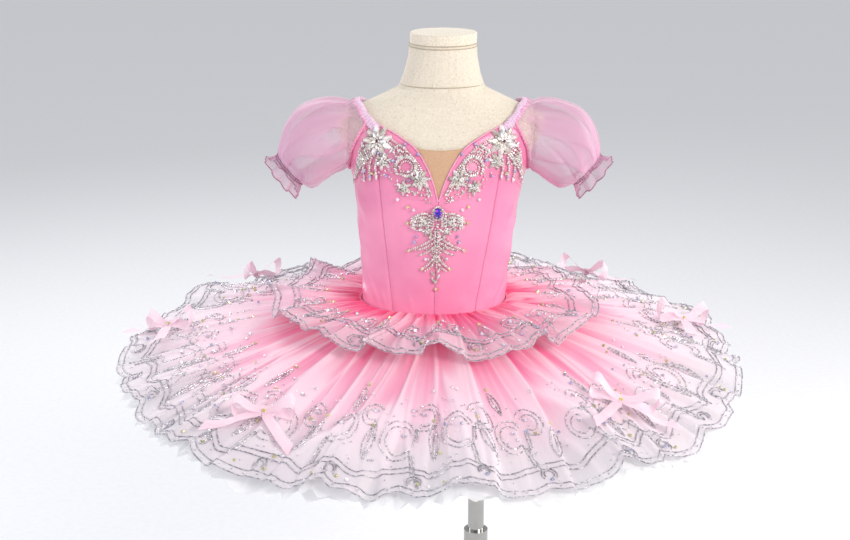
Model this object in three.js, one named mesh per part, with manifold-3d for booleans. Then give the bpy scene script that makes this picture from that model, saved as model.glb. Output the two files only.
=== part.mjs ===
// A child's classical ballet tutu, worn by a limbless dress form on a telescoping pole stand.
//
// Millimetres, +Z up. -Y is the wearer's front and +X the wearer's left. The origin is on the floor,
// straight below the middle of the skirt. Cloth is modelled in body coordinates, with z counted from
// the waist; the group `figure` carries them up to the waist height with the body's slight lean.
import * as THREE from "three";
import { mergeVertices } from "three/addons/utils/BufferGeometryUtils.js";
import Module from "manifold-3d";

// ---- Driving dimensions ----------------------------------------------------------------------

const WAIST_HEIGHT = 640; // floor to waist, a child about 110 cm tall
const LEAN = 0.0346; // sideways shift of the body for each millimetre of height
const LEAN_FOOT = -95; // body height that stands straight above the origin
const SEAM_GAP = 0.3; // space between neighbouring pieces
const CLOTH = 1.5; // wall of a bodice panel
const SHEER = 1.2; // wall of a net, organza or lace piece

// The body's cross-sections: height from the waist, half width and half depth.
const BODY = [
  { z: -150, width: 70, depth: 52 },
  { z: -146, width: 78, depth: 60 },
  { z: -135, width: 87, depth: 70 },
  { z: -110, width: 94, depth: 77 },
  { z: -60, width: 93, depth: 77 },
  { z: -30, width: 90.5, depth: 75.5 },
  { z: 0, width: 88, depth: 73 },
  { z: 40, width: 90, depth: 75 },
  { z: 90, width: 96, depth: 80 },
  { z: 129, width: 100, depth: 82 },
  { z: 160, width: 107, depth: 79 },
  { z: 175, width: 113, depth: 75 },
  { z: 190, width: 121, depth: 70 },
  { z: 205, width: 128, depth: 64 },
  { z: 214, width: 130, depth: 58 },
  { z: 225, width: 127, depth: 50 },
  { z: 233, width: 111, depth: 46 },
  { z: 240, width: 95, depth: 44.5 },
  { z: 250, width: 73, depth: 44.5 },
  { z: 259, width: 53.9, depth: 45.5 },
  { z: 275, width: 47.8, depth: 45 },
  { z: 295, width: 43.3, depth: 43.3 },
  { z: 311, width: 41.8, depth: 41.8 },
];
const FORM_BOTTOM = -150;
const FORM_EASE = 1.3; // the form is this much slimmer than the line the garment is cut to
const NECK_TOP = 311;
const NECK_CAP = { radius: 40.5, height: 13, crown: 2.5 };

const BODICE_HEM = -5;
const SIDE_SEAM = 95; // degrees round from the centre front
const PRINCESS_SEAM = [
  { z: -5, x: 50 },
  { z: 150, x: 70.5 },
  { z: 221, x: 77 },
];
const NECKLINE = [
  { z: 132, x: 0 },
  { z: 158, x: 8 },
  { z: 178, x: 18 },
  { z: 195, x: 31 },
  { z: 208, x: 52 },
  { z: 219, x: 77 },
];
const INSERT_TOP = 194;
// Top edge of the side panel, from the princess seam (0) to the side seam (1).
const ARMHOLE = [
  { along: 0, z: 219 },
  { along: 0.1, z: 215 },
  { along: 0.2, z: 206 },
  { along: 0.35, z: 190 },
  { along: 0.55, z: 172 },
  { along: 0.8, z: 160 },
  { along: 1, z: 156 },
];
// Top edge of the back, from the side seam (0) to the centre back (1).
const BACK_TOP = [
  { along: 0, z: 156 },
  { along: 0.3, z: 148 },
  { along: 1, z: 142 },
];

const PIPING = { width: 1.6, lift: 3.6 };
const STRAP = { width: 12, thickness: 4, lift: 4 };
// The strap's middle line over the shoulder, in degrees round the body.
const STRAP_ROUTE = [
  { angle: 42, z: 222.5 },
  { angle: 51, z: 229 },
  { angle: 65, z: 234.5 },
  { angle: 90, z: 236.5 },
  { angle: 115, z: 234 },
  { angle: 130, z: 228 },
  { angle: 138, z: 218 },
  { angle: 143, z: 200 },
  { angle: 147, z: 180 },
  { angle: 150, z: 164 },
  { angle: 151, z: 152 },
];

// A puff sleeve from armhole to frill. Each ring is centred at (x, z), turned down by `tilt` degrees,
// with its half height, half depth and the depth of its gathers.
const SLEEVE = [
  { x: 112, z: 200, tilt: 0, height: 42, depth: 38, gather: 1.2 },
  { x: 118, z: 198, tilt: 3, height: 48, depth: 46, gather: 1.5 },
  { x: 138, z: 194, tilt: 7, height: 53, depth: 52, gather: 1 },
  { x: 158, z: 185, tilt: 13, height: 54, depth: 54, gather: 0.5 },
  { x: 174, z: 174, tilt: 22, height: 45, depth: 48, gather: 1 },
  { x: 182.5, z: 161.5, tilt: 32, height: 31, depth: 34, gather: 1.5 },
  { x: 186, z: 156, tilt: 43, height: 23, depth: 23, gather: 0.8 },
  { x: 190.5, z: 150, tilt: 42, height: 27, depth: 27, gather: 1.8 },
  { x: 194.5, z: 145.5, tilt: 40, height: 31, depth: 31, gather: 2.6 },
];
const SLEEVE_GATHERS = 5;
const SLEEVE_SIDES = 20;

// Lace pieces, raised off the bodice. A wing follows the neckline from the underarm to the V point:
// each row crosses it from its upper to its lower edge.
const LACE_LIFT = 3.2;
const WING = [
  { row: 0, upperX: 100, upperZ: 166, lowerX: 98, lowerZ: 134 },
  { row: 1, upperX: 92, upperZ: 197, lowerX: 88, lowerZ: 150 },
  { row: 2, upperX: 77, upperZ: 213, lowerX: 74, lowerZ: 160 },
  { row: 3, upperX: 56, upperZ: 205, lowerX: 60, lowerZ: 160 },
  { row: 4, upperX: 39, upperZ: 195, lowerX: 48, lowerZ: 140 },
  { row: 5, upperX: 25, upperZ: 180, lowerX: 32, lowerZ: 135 },
  { row: 6, upperX: 14, upperZ: 162, lowerX: 18, lowerZ: 133 },
  { row: 7, upperX: 5, upperZ: 140, lowerX: 8, lowerZ: 129 },
];
const PENDANT = [
  { z: 126, width: 8 },
  { z: 118, width: 20 },
  { z: 108, width: 33 },
  { z: 98, width: 22 },
  { z: 90, width: 16 },
  { z: 79, width: 27 },
  { z: 70, width: 12 },
  { z: 56, width: 14 },
  { z: 45, width: 7 },
  { z: 32, width: 5 },
  { z: 21, width: 2 },
];
const LACE_COLUMNS = 11;

// The skirt: every layer hangs from the main layer's surface, so that all of them fold together.
const SKIRT_SEAM = -14; // height of the main layer where it is sewn to the basque
const SKIRT_REACH = 395;
const SKIRT_CURVE = 1.15;
const DROP = { mean: 94, frontBack: 19, sides: -3 };
const FOLDS = [
  { count: 5, height: 4, turn: 0.6 },
  { count: 9, height: 3, turn: 2.1 },
  { count: 14, height: 5, turn: 0 },
];
const RIM_WAVES = [
  { count: 3, height: 4, turn: 1 },
  { count: 7, height: 3, turn: 0.4 },
];
const BASQUE_CLEARANCE = 2.6; // from the body to a layer's inner edge
// Each layer's inner edge out from the basque and its reach from the middle, then its height over the
// main layer at the seam, half way along and at the edge, and the height of the curls at its edge.
const LAYERS = [
  { name: "skirt_overlay", from: 0, reach: 212, seam: 5, middle: 15, edge: 12, curl: 5, rows: 3 },
  { name: "skirt_main_layer", from: 0, reach: 395, seam: 0, middle: 0, edge: 0, curl: 0, rows: 3 },
  { name: "net_layer_upper", from: 1, reach: 397, seam: -7, middle: -7, edge: -6, curl: 0, rows: 3 },
  { name: "net_layer_middle", from: 3, reach: 380, seam: -15, middle: -15, edge: -14, curl: 0, rows: 3 },
  { name: "net_layer_lower", from: 5, reach: 345, seam: -24, middle: -25, edge: -26, curl: 0, rows: 2 },
];
const SKIRT_SIDES = 56; // four to each of the deepest folds

// Knickers: a bag on the hips, closed between the legs and cut away for them.
const KNICKER_LINES = [-5.5, -30, -60, -110, -125, -135, -146, -150];
const LEG_OPENING = { x: 62, z: -125, tilt: 37.6, height: 41, depth: 55, inside: 30, outside: 70 };

// Ribbon bows on the main layer: degrees from the centre front and distance from the body's middle.
const BOWS = [
  { name: "bow_front_right", angle: -37, reach: 311 },
  { name: "bow_front_left", angle: 44, reach: 307 },
  { name: "bow_side_right", angle: -98, reach: 339 },
  { name: "bow_side_left", angle: 100, reach: 330 },
  { name: "bow_back_left", angle: 138, reach: 320 },
  { name: "bow_back_right", angle: -134, reach: 340 },
];
const BOW = { loop: 42, loopWidth: 16, loopHeight: 9, knot: 6, lift: 8 };
const BOW_TAIL = { length: 66, width: 10, thickness: 1.2, lift: 3.6, splay: [70, -17] };

// Stand: base plate, outer tube, clamp collar and sliding rod, all on the pole's own axis.
const POLE_X = 59;
const ROD = { radius: 10.5, bottom: 110 };
const BORE = 10.7; // collar and socket bores, a free fit on the rod
const BASE = { radius: 150, thickness: 10, edge: 3 };
const HUB = { radius: 24, height: 26 };
const TUBE = { outer: 13, inner: 11.2, top: 306 };
const COLLAR = { outer: 15.75, top: 312, bottom: 278, lid: 5.7 };
const SCREW = { z: 296, shank: 3.5, length: 12, knob: 10, knobLength: 11 };
const SOCKET = { flange: 24, thickness: 4, outer: 15, length: 40 };
const ROUND_SIDES = 24;

// ---- Materials -------------------------------------------------------------------------------

const finish = (color, roughness, metalness = 0) =>
  new THREE.MeshStandardMaterial({ color, roughness, metalness, side: THREE.DoubleSide });
const MATERIALS = {
  linen: finish(0xd9cdb6, 0.95),
  chrome: finish(0xc9cbcd, 0.15, 1),
  blackPlastic: finish(0x1c1c1e, 0.5),
  satin: finish(0xf37fae, 0.35),
  mesh: finish(0xcaa283, 0.8),
  organza: finish(0xeeb5cd, 0.5),
  strapSatin: finish(0xdcb2cb, 0.6),
  silverLace: finish(0xd8d2cf, 0.35),
  pinkTulle: finish(0xf284ae, 0.7),
  ombreTulle: finish(0xf3c0d6, 0.7),
  whiteNet: finish(0xf0ecef, 0.8),
  ribbon: finish(0xf6c9da, 0.5),
};

// ---- Surfaces --------------------------------------------------------------------------------

const radians = THREE.MathUtils.degToRad;
const lerp = THREE.MathUtils.lerp;

// The value of one column of a table at a place along another column, on a smooth curve.
function smooth(rows, key, value, at) {
  const last = rows.length - 1;
  let i = 0;
  while (i < last - 1 && at > rows[i + 1][key]) i++;
  const [a, b] = [rows[i], rows[i + 1]];
  const before = rows[Math.max(i - 1, 0)];
  const after = rows[Math.min(i + 2, last)];
  const span = b[key] - a[key];
  const slope = (p, q) => (q[value] - p[value]) / (q[key] - p[key]);
  const middle = slope(a, b);
  const start = limited(slope(before === a ? a : before, a === before ? b : a), middle, slope(before, b));
  const end = limited(after === b ? middle : slope(b, after), middle, slope(a, after));
  const t = THREE.MathUtils.clamp((at - a[key]) / span, 0, 1);
  const t2 = t * t;
  const t3 = t2 * t;
  return (
    a[value] * (2 * t3 - 3 * t2 + 1) +
    b[value] * (3 * t2 - 2 * t3) +
    start * span * (t3 - 2 * t2 + t) +
    end * span * (t3 - t2)
  );
}

// A slope that keeps the curve from overshooting where the table turns round.
function limited(outer, inner, mean) {
  return outer * inner <= 0 ? 0 : mean;
}

const halfWidth = (z) => smooth(BODY, "z", "width", z);
const halfDepth = (z) => smooth(BODY, "z", "depth", z);

// A point on the body `lift` outside it. The angle is in radians from the centre front, towards +X.
function bodyPoint(angle, z, lift) {
  const step = 0.5;
  const width = halfWidth(z);
  const depth = halfDepth(z);
  const widening = (halfWidth(z + step) - halfWidth(z - step)) / (2 * step);
  const deepening = (halfDepth(z + step) - halfDepth(z - step)) / (2 * step);
  const sine = Math.sin(angle);
  const cosine = Math.cos(angle);
  const normal = new THREE.Vector3(
    depth * sine,
    -width * cosine,
    -(width * deepening * cosine * cosine + depth * widening * sine * sine),
  );
  return new THREE.Vector3(width * sine, -depth * cosine, z).addScaledVector(normal.normalize(), lift);
}

// The angle at which the front of the body is `x` from its middle at height `z`.
const frontAngle = (x, z) => Math.asin(THREE.MathUtils.clamp(x / halfWidth(z), -1, 1));
const seamX = (z) => smooth(PRINCESS_SEAM, "z", "x", z);
const necklineX = (z) => smooth(NECKLINE, "z", "x", z);

// A geometry from vertices and triangles, its faces turned outwards.
function closedGeometry(points, index) {
  const corner = [0, 1, 2].map(() => new THREE.Vector3());
  let volume = 0;
  for (let i = 0; i < index.length; i += 3) {
    corner.forEach((c, k) => c.copy(points[index[i + k]]));
    volume += corner[0].dot(corner[1].cross(corner[2]));
  }
  if (volume < 0) index.reverse();
  const geometry = new THREE.BufferGeometry().setFromPoints(points);
  geometry.setIndex(index);
  geometry.computeVertexNormals();
  return geometry;
}

// A closed wall over a grid: point(s, t, face) gives its inner (0) and outer (1) face, where s runs
// over the rows and t over the columns, which may close on themselves.
function wall(rows, columns, round, point) {
  const count = round ? columns : columns + 1;
  const points = [];
  for (const face of [0, 1])
    for (let i = 0; i <= rows; i++)
      for (let j = 0; j < count; j++) points.push(point(i / rows, j / columns, face));
  const at = (face, i, j) => (face * (rows + 1) + i) * count + (j % count);
  const index = [];
  const quad = (a, b, c, d) => index.push(a, b, c, a, c, d);
  for (let j = 0; j < columns; j++) {
    for (let i = 0; i < rows; i++) {
      quad(at(1, i, j), at(1, i, j + 1), at(1, i + 1, j + 1), at(1, i + 1, j));
      quad(at(0, i, j), at(0, i + 1, j), at(0, i + 1, j + 1), at(0, i, j + 1));
    }
    quad(at(0, 0, j), at(0, 0, j + 1), at(1, 0, j + 1), at(1, 0, j));
    quad(at(1, rows, j), at(1, rows, j + 1), at(0, rows, j + 1), at(0, rows, j));
  }
  if (!round)
    for (let i = 0; i < rows; i++) {
      quad(at(1, i, 0), at(1, i + 1, 0), at(0, i + 1, 0), at(0, i, 0));
      quad(at(0, i, columns), at(0, i + 1, columns), at(1, i + 1, columns), at(1, i, columns));
    }
  return closedGeometry(points, index);
}

// A solid through rings of points, closed at both ends by a fan round the ring's middle.
function loft(rings) {
  const sides = rings[0].length;
  const points = rings.flat();
  const index = [];
  for (let i = 0; i + 1 < rings.length; i++)
    for (let j = 0; j < sides; j++) {
      const [a, b] = [i * sides + j, i * sides + ((j + 1) % sides)];
      index.push(a, b, b + sides, a, b + sides, a + sides);
    }
  for (const [first, flip] of [[0, true], [(rings.length - 1) * sides, false]]) {
    const middle = new THREE.Vector3();
    for (let j = 0; j < sides; j++) middle.addScaledVector(points[first + j], 1 / sides);
    const hub = points.push(middle) - 1;
    for (let j = 0; j < sides; j++) {
      const [a, b] = [first + j, first + ((j + 1) % sides)];
      index.push(...(flip ? [hub, b, a] : [hub, a, b]));
    }
  }
  return closedGeometry(points, index);
}

const bodyRing = (z, lift, sides) =>
  Array.from({ length: sides }, (_, j) => bodyPoint((2 * Math.PI * j) / sides, z, lift));

// ---- Joining and cutting ---------------------------------------------------------------------

const wasm = await Module();
wasm.setup();

function solid(geometry) {
  const plain = new THREE.BufferGeometry();
  plain.setAttribute("position", geometry.getAttribute("position"));
  if (geometry.index) plain.setIndex(geometry.index);
  const merged = mergeVertices(plain, 1e-4);
  const vertProperties = new Float32Array(merged.attributes.position.array);
  const triVerts = new Uint32Array(merged.index.array);
  return new wasm.Manifold(new wasm.Mesh({ numProp: 3, vertProperties, triVerts }));
}

function geometryOf(manifold) {
  const { vertProperties, triVerts } = manifold.getMesh();
  const geometry = new THREE.BufferGeometry();
  geometry.setAttribute("position", new THREE.BufferAttribute(new Float32Array(vertProperties), 3));
  geometry.setIndex(new THREE.BufferAttribute(new Uint32Array(triVerts), 1));
  geometry.computeVertexNormals();
  return geometry;
}

// ---- Dress form ------------------------------------------------------------------------------

function torsoGeometry() {
  const heights = BODY.map((row) => row.z);
  return loft(heights.map((z) => bodyRing(z, -FORM_EASE, 32)));
}

function neckCapGeometry() {
  const bottom = NECK_TOP + SEAM_GAP;
  const top = bottom + NECK_CAP.height;
  const profile = [
    [0, bottom],
    [NECK_CAP.radius, bottom],
    [NECK_CAP.radius, top - 1],
    [NECK_CAP.radius - 1, top],
    [0, top + NECK_CAP.crown],
  ];
  return turned(profile, 36);
}

// A turned piece about the Z axis, from its profile of radius and height.
function turned(profile, sides = ROUND_SIDES) {
  const geometry = new THREE.LatheGeometry(
    profile.map(([radius, height]) => new THREE.Vector2(radius, height)),
    sides,
  );
  return geometry.rotateX(Math.PI / 2);
}

// ---- Bodice ----------------------------------------------------------------------------------

// A share of the way up a panel, with the rows closer together towards its curved top.
const risen = (s) => 1 - (1 - s) ** 1.6;

// A panel of cloth on the body: place(s, t) gives the angle and height of its points.
function panel(rows, columns, place, lift = 0.4, thickness = CLOTH) {
  return wall(rows, columns, false, (s, t, face) => {
    const { angle, z } = place(s, t);
    return bodyPoint(angle, z, lift + face * thickness);
  });
}

// Half of the centre front, from the middle to the princess seam and up to the neckline.
function centreFront(side) {
  const columns = NECKLINE.length - 1;
  return panel(7, columns, (s, t) => {
    const edge = NECKLINE[Math.round(t * columns)];
    const share = Math.min(edge.x / seamX(edge.z), 1);
    const z = lerp(BODICE_HEM, edge.z, risen(s));
    const x = lerp(SEAM_GAP / 2, seamX(z) - SEAM_GAP / 2, share);
    return { angle: side * frontAngle(x, z), z };
  });
}

function sideFront(side) {
  return panel(7, 6, (s, t) => {
    const z = lerp(BODICE_HEM, smooth(ARMHOLE, "along", "z", t), risen(s));
    const from = frontAngle(seamX(z) + SEAM_GAP / 2, z);
    const to = radians(SIDE_SEAM) - SEAM_GAP / 2 / halfWidth(z);
    return { angle: side * lerp(from, to, t), z };
  });
}

function back(side) {
  return panel(4, 6, (s, t) => {
    const z = lerp(BODICE_HEM, smooth(BACK_TOP, "along", "z", t), risen(s));
    const from = radians(SIDE_SEAM) + SEAM_GAP / 2 / halfWidth(z);
    const to = Math.PI - SEAM_GAP / 2 / halfWidth(z);
    return { angle: side * lerp(from, to, t), z };
  });
}

// The skin-coloured mesh that fills the V of the neckline.
function nudeInsert() {
  return panel(5, 4, (s, t) => {
    const z = lerp(NECKLINE[0].z + 4, INSERT_TOP, s);
    const reach = necklineX(z) - 1.2;
    return { angle: frontAngle(lerp(-reach, reach, t), z), z };
  });
}

// A rounded cord along a route of body points, with a flat oval section.
function band(route, width, thickness, sides) {
  const curve = new THREE.CatmullRomCurve3(route.map((r) => r.point));
  const steps = 12;
  const rings = [];
  for (let i = 0; i <= steps; i++) {
    const at = curve.getPoint(i / steps);
    const along = curve.getTangent(i / steps);
    const row = Math.min(Math.round((i / steps) * (route.length - 1)), route.length - 1);
    const out = route[row].normal.clone().addScaledVector(along, -route[row].normal.dot(along)).normalize();
    const across = new THREE.Vector3().crossVectors(along, out);
    rings.push(
      Array.from({ length: sides }, (_, j) => {
        const turn = (2 * Math.PI * (j + 0.5)) / sides;
        return at
          .clone()
          .addScaledVector(across, (Math.cos(turn) * width) / 2)
          .addScaledVector(out, (Math.sin(turn) * thickness) / 2);
      }),
    );
  }
  return loft(rings);
}

function bodyRoute(rows, lift) {
  return rows.map(({ angle, z }) => {
    const point = bodyPoint(angle, z, lift);
    return { point, normal: point.clone().sub(bodyPoint(angle, z, lift - 1)) };
  });
}

function strap(side) {
  const rows = STRAP_ROUTE.map(({ angle, z }) => ({ angle: side * radians(angle), z }));
  return band(bodyRoute(rows, STRAP.lift), STRAP.width, STRAP.thickness, 6);
}

// Thin piping along one half of the neckline, on the edge of the panel.
function piping(side) {
  const rows = NECKLINE.slice(1).map(({ x, z }) => ({ angle: side * frontAngle(x, z), z }));
  return band(bodyRoute(rows, PIPING.lift), PIPING.width, PIPING.width, 5);
}

function laceWing(side) {
  return panel(4, LACE_COLUMNS, (s, t) => {
    const at = (value) => smooth(WING, "row", value, t * (WING.length - 1));
    const z = lerp(at("lowerZ"), at("upperZ"), s);
    return { angle: side * frontAngle(lerp(at("lowerX"), at("upperX"), s), z), z };
  }, LACE_LIFT, SHEER);
}

function lacePendant() {
  return panel(PENDANT.length - 1, 4, (s, t) => {
    const { z, width } = PENDANT[Math.round(s * (PENDANT.length - 1))];
    return { angle: frontAngle(lerp(-width, width, t), z), z };
  }, LACE_LIFT, SHEER);
}

// ---- Sleeves ---------------------------------------------------------------------------------

function sleeve(side) {
  return wall(SLEEVE.length - 1, SLEEVE_SIDES, true, (s, t, face) => {
    const ring = SLEEVE[Math.round(s * (SLEEVE.length - 1))];
    const turn = 2 * Math.PI * t;
    const tilt = radians(ring.tilt);
    const inset = ring.gather * Math.cos(SLEEVE_GATHERS * turn) - (1 - face) * SHEER;
    const up = (ring.height + inset) * Math.cos(turn);
    return new THREE.Vector3(
      side * (ring.x + up * Math.sin(tilt)),
      (ring.depth + inset) * Math.sin(turn),
      ring.z + up * Math.cos(tilt),
    );
  });
}

// ---- Skirt -----------------------------------------------------------------------------------

const waves = (table, angle) =>
  table.reduce((sum, wave) => sum + wave.height * Math.cos(wave.count * angle + wave.turn), 0);

// How far the main layer's edge hangs below the waist, at an angle from the centre front.
const drop = (angle) =>
  DROP.mean + DROP.frontBack * Math.cos(angle) + DROP.sides * Math.cos(2 * angle);

// A point `share` of the way out along the main layer, raised by `lift`.
function skirtPoint(share, angle, lift) {
  const sewn = bodyPoint(angle, SKIRT_SEAM, BASQUE_CLEARANCE);
  const reach = SKIRT_REACH + waves(RIM_WAVES, angle);
  const fall = (-drop(angle) - SKIRT_SEAM) * share ** SKIRT_CURVE;
  return new THREE.Vector3(
    lerp(sewn.x, reach * Math.sin(angle), share),
    lerp(sewn.y, -reach * Math.cos(angle), share),
    SKIRT_SEAM + fall + waves(FOLDS, angle) * share ** 1.5 + lift,
  );
}

// The share of the way out at which the main layer is `reach` from the middle.
const shareAt = (reach) => (reach - halfWidth(0)) / (SKIRT_REACH - halfWidth(0));

function skirtLayer({ from, reach, seam, middle, edge, curl, rows }) {
  const start = from / (SKIRT_REACH - halfWidth(0));
  return wall(rows, SKIRT_SIDES, true, (s, t, face) => {
    const angle = 2 * Math.PI * t;
    const bulge = seam * (1 - s) * (1 - 2 * s) + middle * 4 * s * (1 - s) + edge * s * (2 * s - 1);
    const curled = curl * s * s * Math.cos(FOLDS.at(-1).count * angle);
    return skirtPoint(lerp(start, shareAt(reach), s), angle, bulge + curled + face * SHEER);
  });
}

// ---- Knickers --------------------------------------------------------------------------------

function knickers() {
  const sides = 20;
  const outer = loft(KNICKER_LINES.map((z) => bodyRing(z, 2, sides)));
  const hollow = [BODICE_HEM + 2, ...KNICKER_LINES].map((z) => bodyRing(z, 0.5, sides));
  let bag = solid(outer).subtract(solid(loft(hollow)));
  for (const side of [-1, 1]) bag = bag.subtract(solid(legCutter(side)));
  return geometryOf(bag);
}

function legCutter(side) {
  const { x, z, tilt, height, depth, inside, outside } = LEG_OPENING;
  return new THREE.CylinderGeometry(1, 1, inside + outside, 20)
    .translate(0, (inside - outside) / 2, 0)
    .scale(height, 1, depth)
    .rotateX(Math.PI / 2)
    .rotateY(-side * radians(tilt))
    .translate(side * x, 0, z);
}

// ---- Bows ------------------------------------------------------------------------------------

// A point on the skirt, `along` and `out` from the bow's knot: sideways and away from the waist.
function besideKnot(bow, along, out, lift) {
  const reach = bow.reach + out;
  return skirtPoint(shareAt(reach), radians(bow.angle) + along / reach, SHEER + lift);
}

function bowTail(bow, splay) {
  const outwards = Math.sign(bow.angle);
  const turn = radians(splay) * outwards;
  return wall(3, 1, false, (s, t, face) => {
    const far = lerp(2, BOW_TAIL.length, s);
    const aside = (t - 0.5) * BOW_TAIL.width;
    const along = far * Math.sin(turn) + aside * Math.cos(turn);
    const out = far * Math.cos(turn) - aside * Math.sin(turn);
    return besideKnot(bow, along, out, BOW_TAIL.lift + face * BOW_TAIL.thickness);
  });
}

function bowLoop(bow, side) {
  const from = besideKnot(bow, 0, 0, BOW.lift);
  const to = besideKnot(bow, side * BOW.loop, 0, BOW.lift);
  const middle = from.clone().lerp(to, 0.5);
  const turn = new THREE.Quaternion().setFromUnitVectors(
    new THREE.Vector3(1, 0, 0),
    to.clone().sub(from).normalize(),
  );
  return new THREE.SphereGeometry(1, 6, 3)
    .scale(BOW.loop / 2 + 1, BOW.loopWidth / 2, BOW.loopHeight / 2)
    .applyQuaternion(turn)
    .translate(middle.x, middle.y, middle.z);
}

function ribbonBow(bow) {
  const knot = besideKnot(bow, 0, 0, BOW.lift - 1);
  const pieces = [
    new THREE.SphereGeometry(BOW.knot, 5, 3).translate(knot.x, knot.y, knot.z),
    ...[-1, 1].map((side) => bowLoop(bow, side)),
    ...BOW_TAIL.splay.map((splay) => bowTail(bow, splay)),
  ];
  return geometryOf(pieces.map(solid).reduce((whole, piece) => whole.add(piece)));
}

// ---- Stand -----------------------------------------------------------------------------------

function basePlate() {
  const { radius, thickness, edge } = BASE;
  return turned([[0, 0], [radius, 0], [radius, thickness - edge], [radius - edge, thickness], [0, thickness]], 48);
}

function ring(inner, outer, bottom, top) {
  return turned([[inner, bottom], [outer, bottom], [outer, top], [inner, top], [inner, bottom]]);
}

function clampCollar() {
  const wide = TUBE.outer + SEAM_GAP;
  const { outer, top, bottom, lid } = COLLAR;
  return turned([
    [BORE, top - lid],
    [wide, top - lid],
    [wide, bottom],
    [outer, bottom],
    [outer, top],
    [BORE, top],
    [BORE, top - lid],
  ]);
}

function thumbScrew() {
  const { z, shank, length, knob, knobLength } = SCREW;
  const profile = [
    [0, 0],
    [shank, 0],
    [shank, length],
    [knob - 1, length],
    [knob, length + 1],
    [knob, length + knobLength - 1],
    [knob - 1, length + knobLength],
    [0, length + knobLength],
  ];
  return turned(profile, 16)
    .rotateY(Math.PI / 2)
    .translate(COLLAR.outer + SEAM_GAP, 0, z)
    .rotateZ(Math.PI / 2);
}

// The plate under the form, with the socket that the rod goes into.
function formSocket() {
  const top = WAIST_HEIGHT + FORM_BOTTOM - SEAM_GAP;
  const { flange, thickness, outer, length } = SOCKET;
  return turned([
    [0, top - thickness],
    [BORE, top - thickness],
    [BORE, top - length],
    [outer, top - length],
    [outer, top - thickness],
    [flange, top - thickness],
    [flange, top],
    [0, top],
  ]);
}

// ---- Assembly --------------------------------------------------------------------------------

const part = new THREE.Group();
const figure = new THREE.Group();
figure.matrixAutoUpdate = false;
figure.matrix.set(
  1, 0, LEAN, -LEAN * LEAN_FOOT,
  0, 1, 0, 0,
  0, 0, 1, WAIST_HEIGHT,
  0, 0, 0, 1,
);
const stand = new THREE.Group();
stand.position.x = POLE_X;
part.add(figure, stand);

function add(group, name, geometry, material) {
  const mesh = new THREE.Mesh(geometry, material);
  mesh.name = name;
  group.add(mesh);
}

add(figure, "form_torso", torsoGeometry(), MATERIALS.linen);
add(figure, "form_neck_cap", neckCapGeometry(), MATERIALS.linen);

for (const [word, side] of [["left", 1], ["right", -1]]) {
  add(figure, `bodice_centre_front_${word}`, centreFront(side), MATERIALS.satin);
  add(figure, `bodice_side_${word}`, sideFront(side), MATERIALS.satin);
  add(figure, `bodice_back_${word}`, back(side), MATERIALS.satin);
  add(figure, `neckline_piping_${word}`, piping(side), MATERIALS.satin);
  add(figure, `strap_${word}`, strap(side), MATERIALS.strapSatin);
  add(figure, `sleeve_${word}`, sleeve(side), MATERIALS.organza);
  add(figure, `lace_wing_${word}`, laceWing(side), MATERIALS.silverLace);
}
add(figure, "nude_insert", nudeInsert(), MATERIALS.mesh);
add(figure, "lace_pendant", lacePendant(), MATERIALS.silverLace);

const LAYER_CLOTH = [
  MATERIALS.pinkTulle,
  MATERIALS.ombreTulle,
  MATERIALS.whiteNet,
  MATERIALS.whiteNet,
  MATERIALS.whiteNet,
];
LAYERS.forEach((layer, i) => add(figure, layer.name, skirtLayer(layer), LAYER_CLOTH[i]));
add(figure, "knickers", knickers(), MATERIALS.satin);
for (const bow of BOWS) add(figure, bow.name, ribbonBow(bow), MATERIALS.ribbon);

const hubBottom = BASE.thickness + SEAM_GAP;
const socketRoof = WAIST_HEIGHT + FORM_BOTTOM - SEAM_GAP - SOCKET.thickness;
add(stand, "base_plate", basePlate(), MATERIALS.chrome);
add(stand, "base_hub", ring(TUBE.outer + SEAM_GAP, HUB.radius, hubBottom, hubBottom + HUB.height), MATERIALS.chrome);
add(stand, "outer_tube", ring(TUBE.inner, TUBE.outer, hubBottom, TUBE.top - SEAM_GAP), MATERIALS.chrome);
add(stand, "clamp_collar", clampCollar(), MATERIALS.chrome);
add(stand, "thumb_screw", thumbScrew(), MATERIALS.blackPlastic);
add(stand, "pole_rod", ring(0, ROD.radius, ROD.bottom, socketRoof - SEAM_GAP), MATERIALS.chrome);
add(stand, "form_socket", formSocket(), MATERIALS.chrome);

export default part;
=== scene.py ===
"""A classical ballet tutu on a limbless dress form, which stands on a telescopic chrome pole.

Every cloth piece is worked out in body millimetres: x to the wearer's left, y to the back, z up from the
waist. world() turns those into metres in the shared frame.
"""

import logging
import math
import random
from dataclasses import dataclass, field
from enum import Enum
from typing import Callable, Iterable, Sequence

import bmesh
import bpy
import numpy as np
from mathutils import Matrix, Vector

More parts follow.
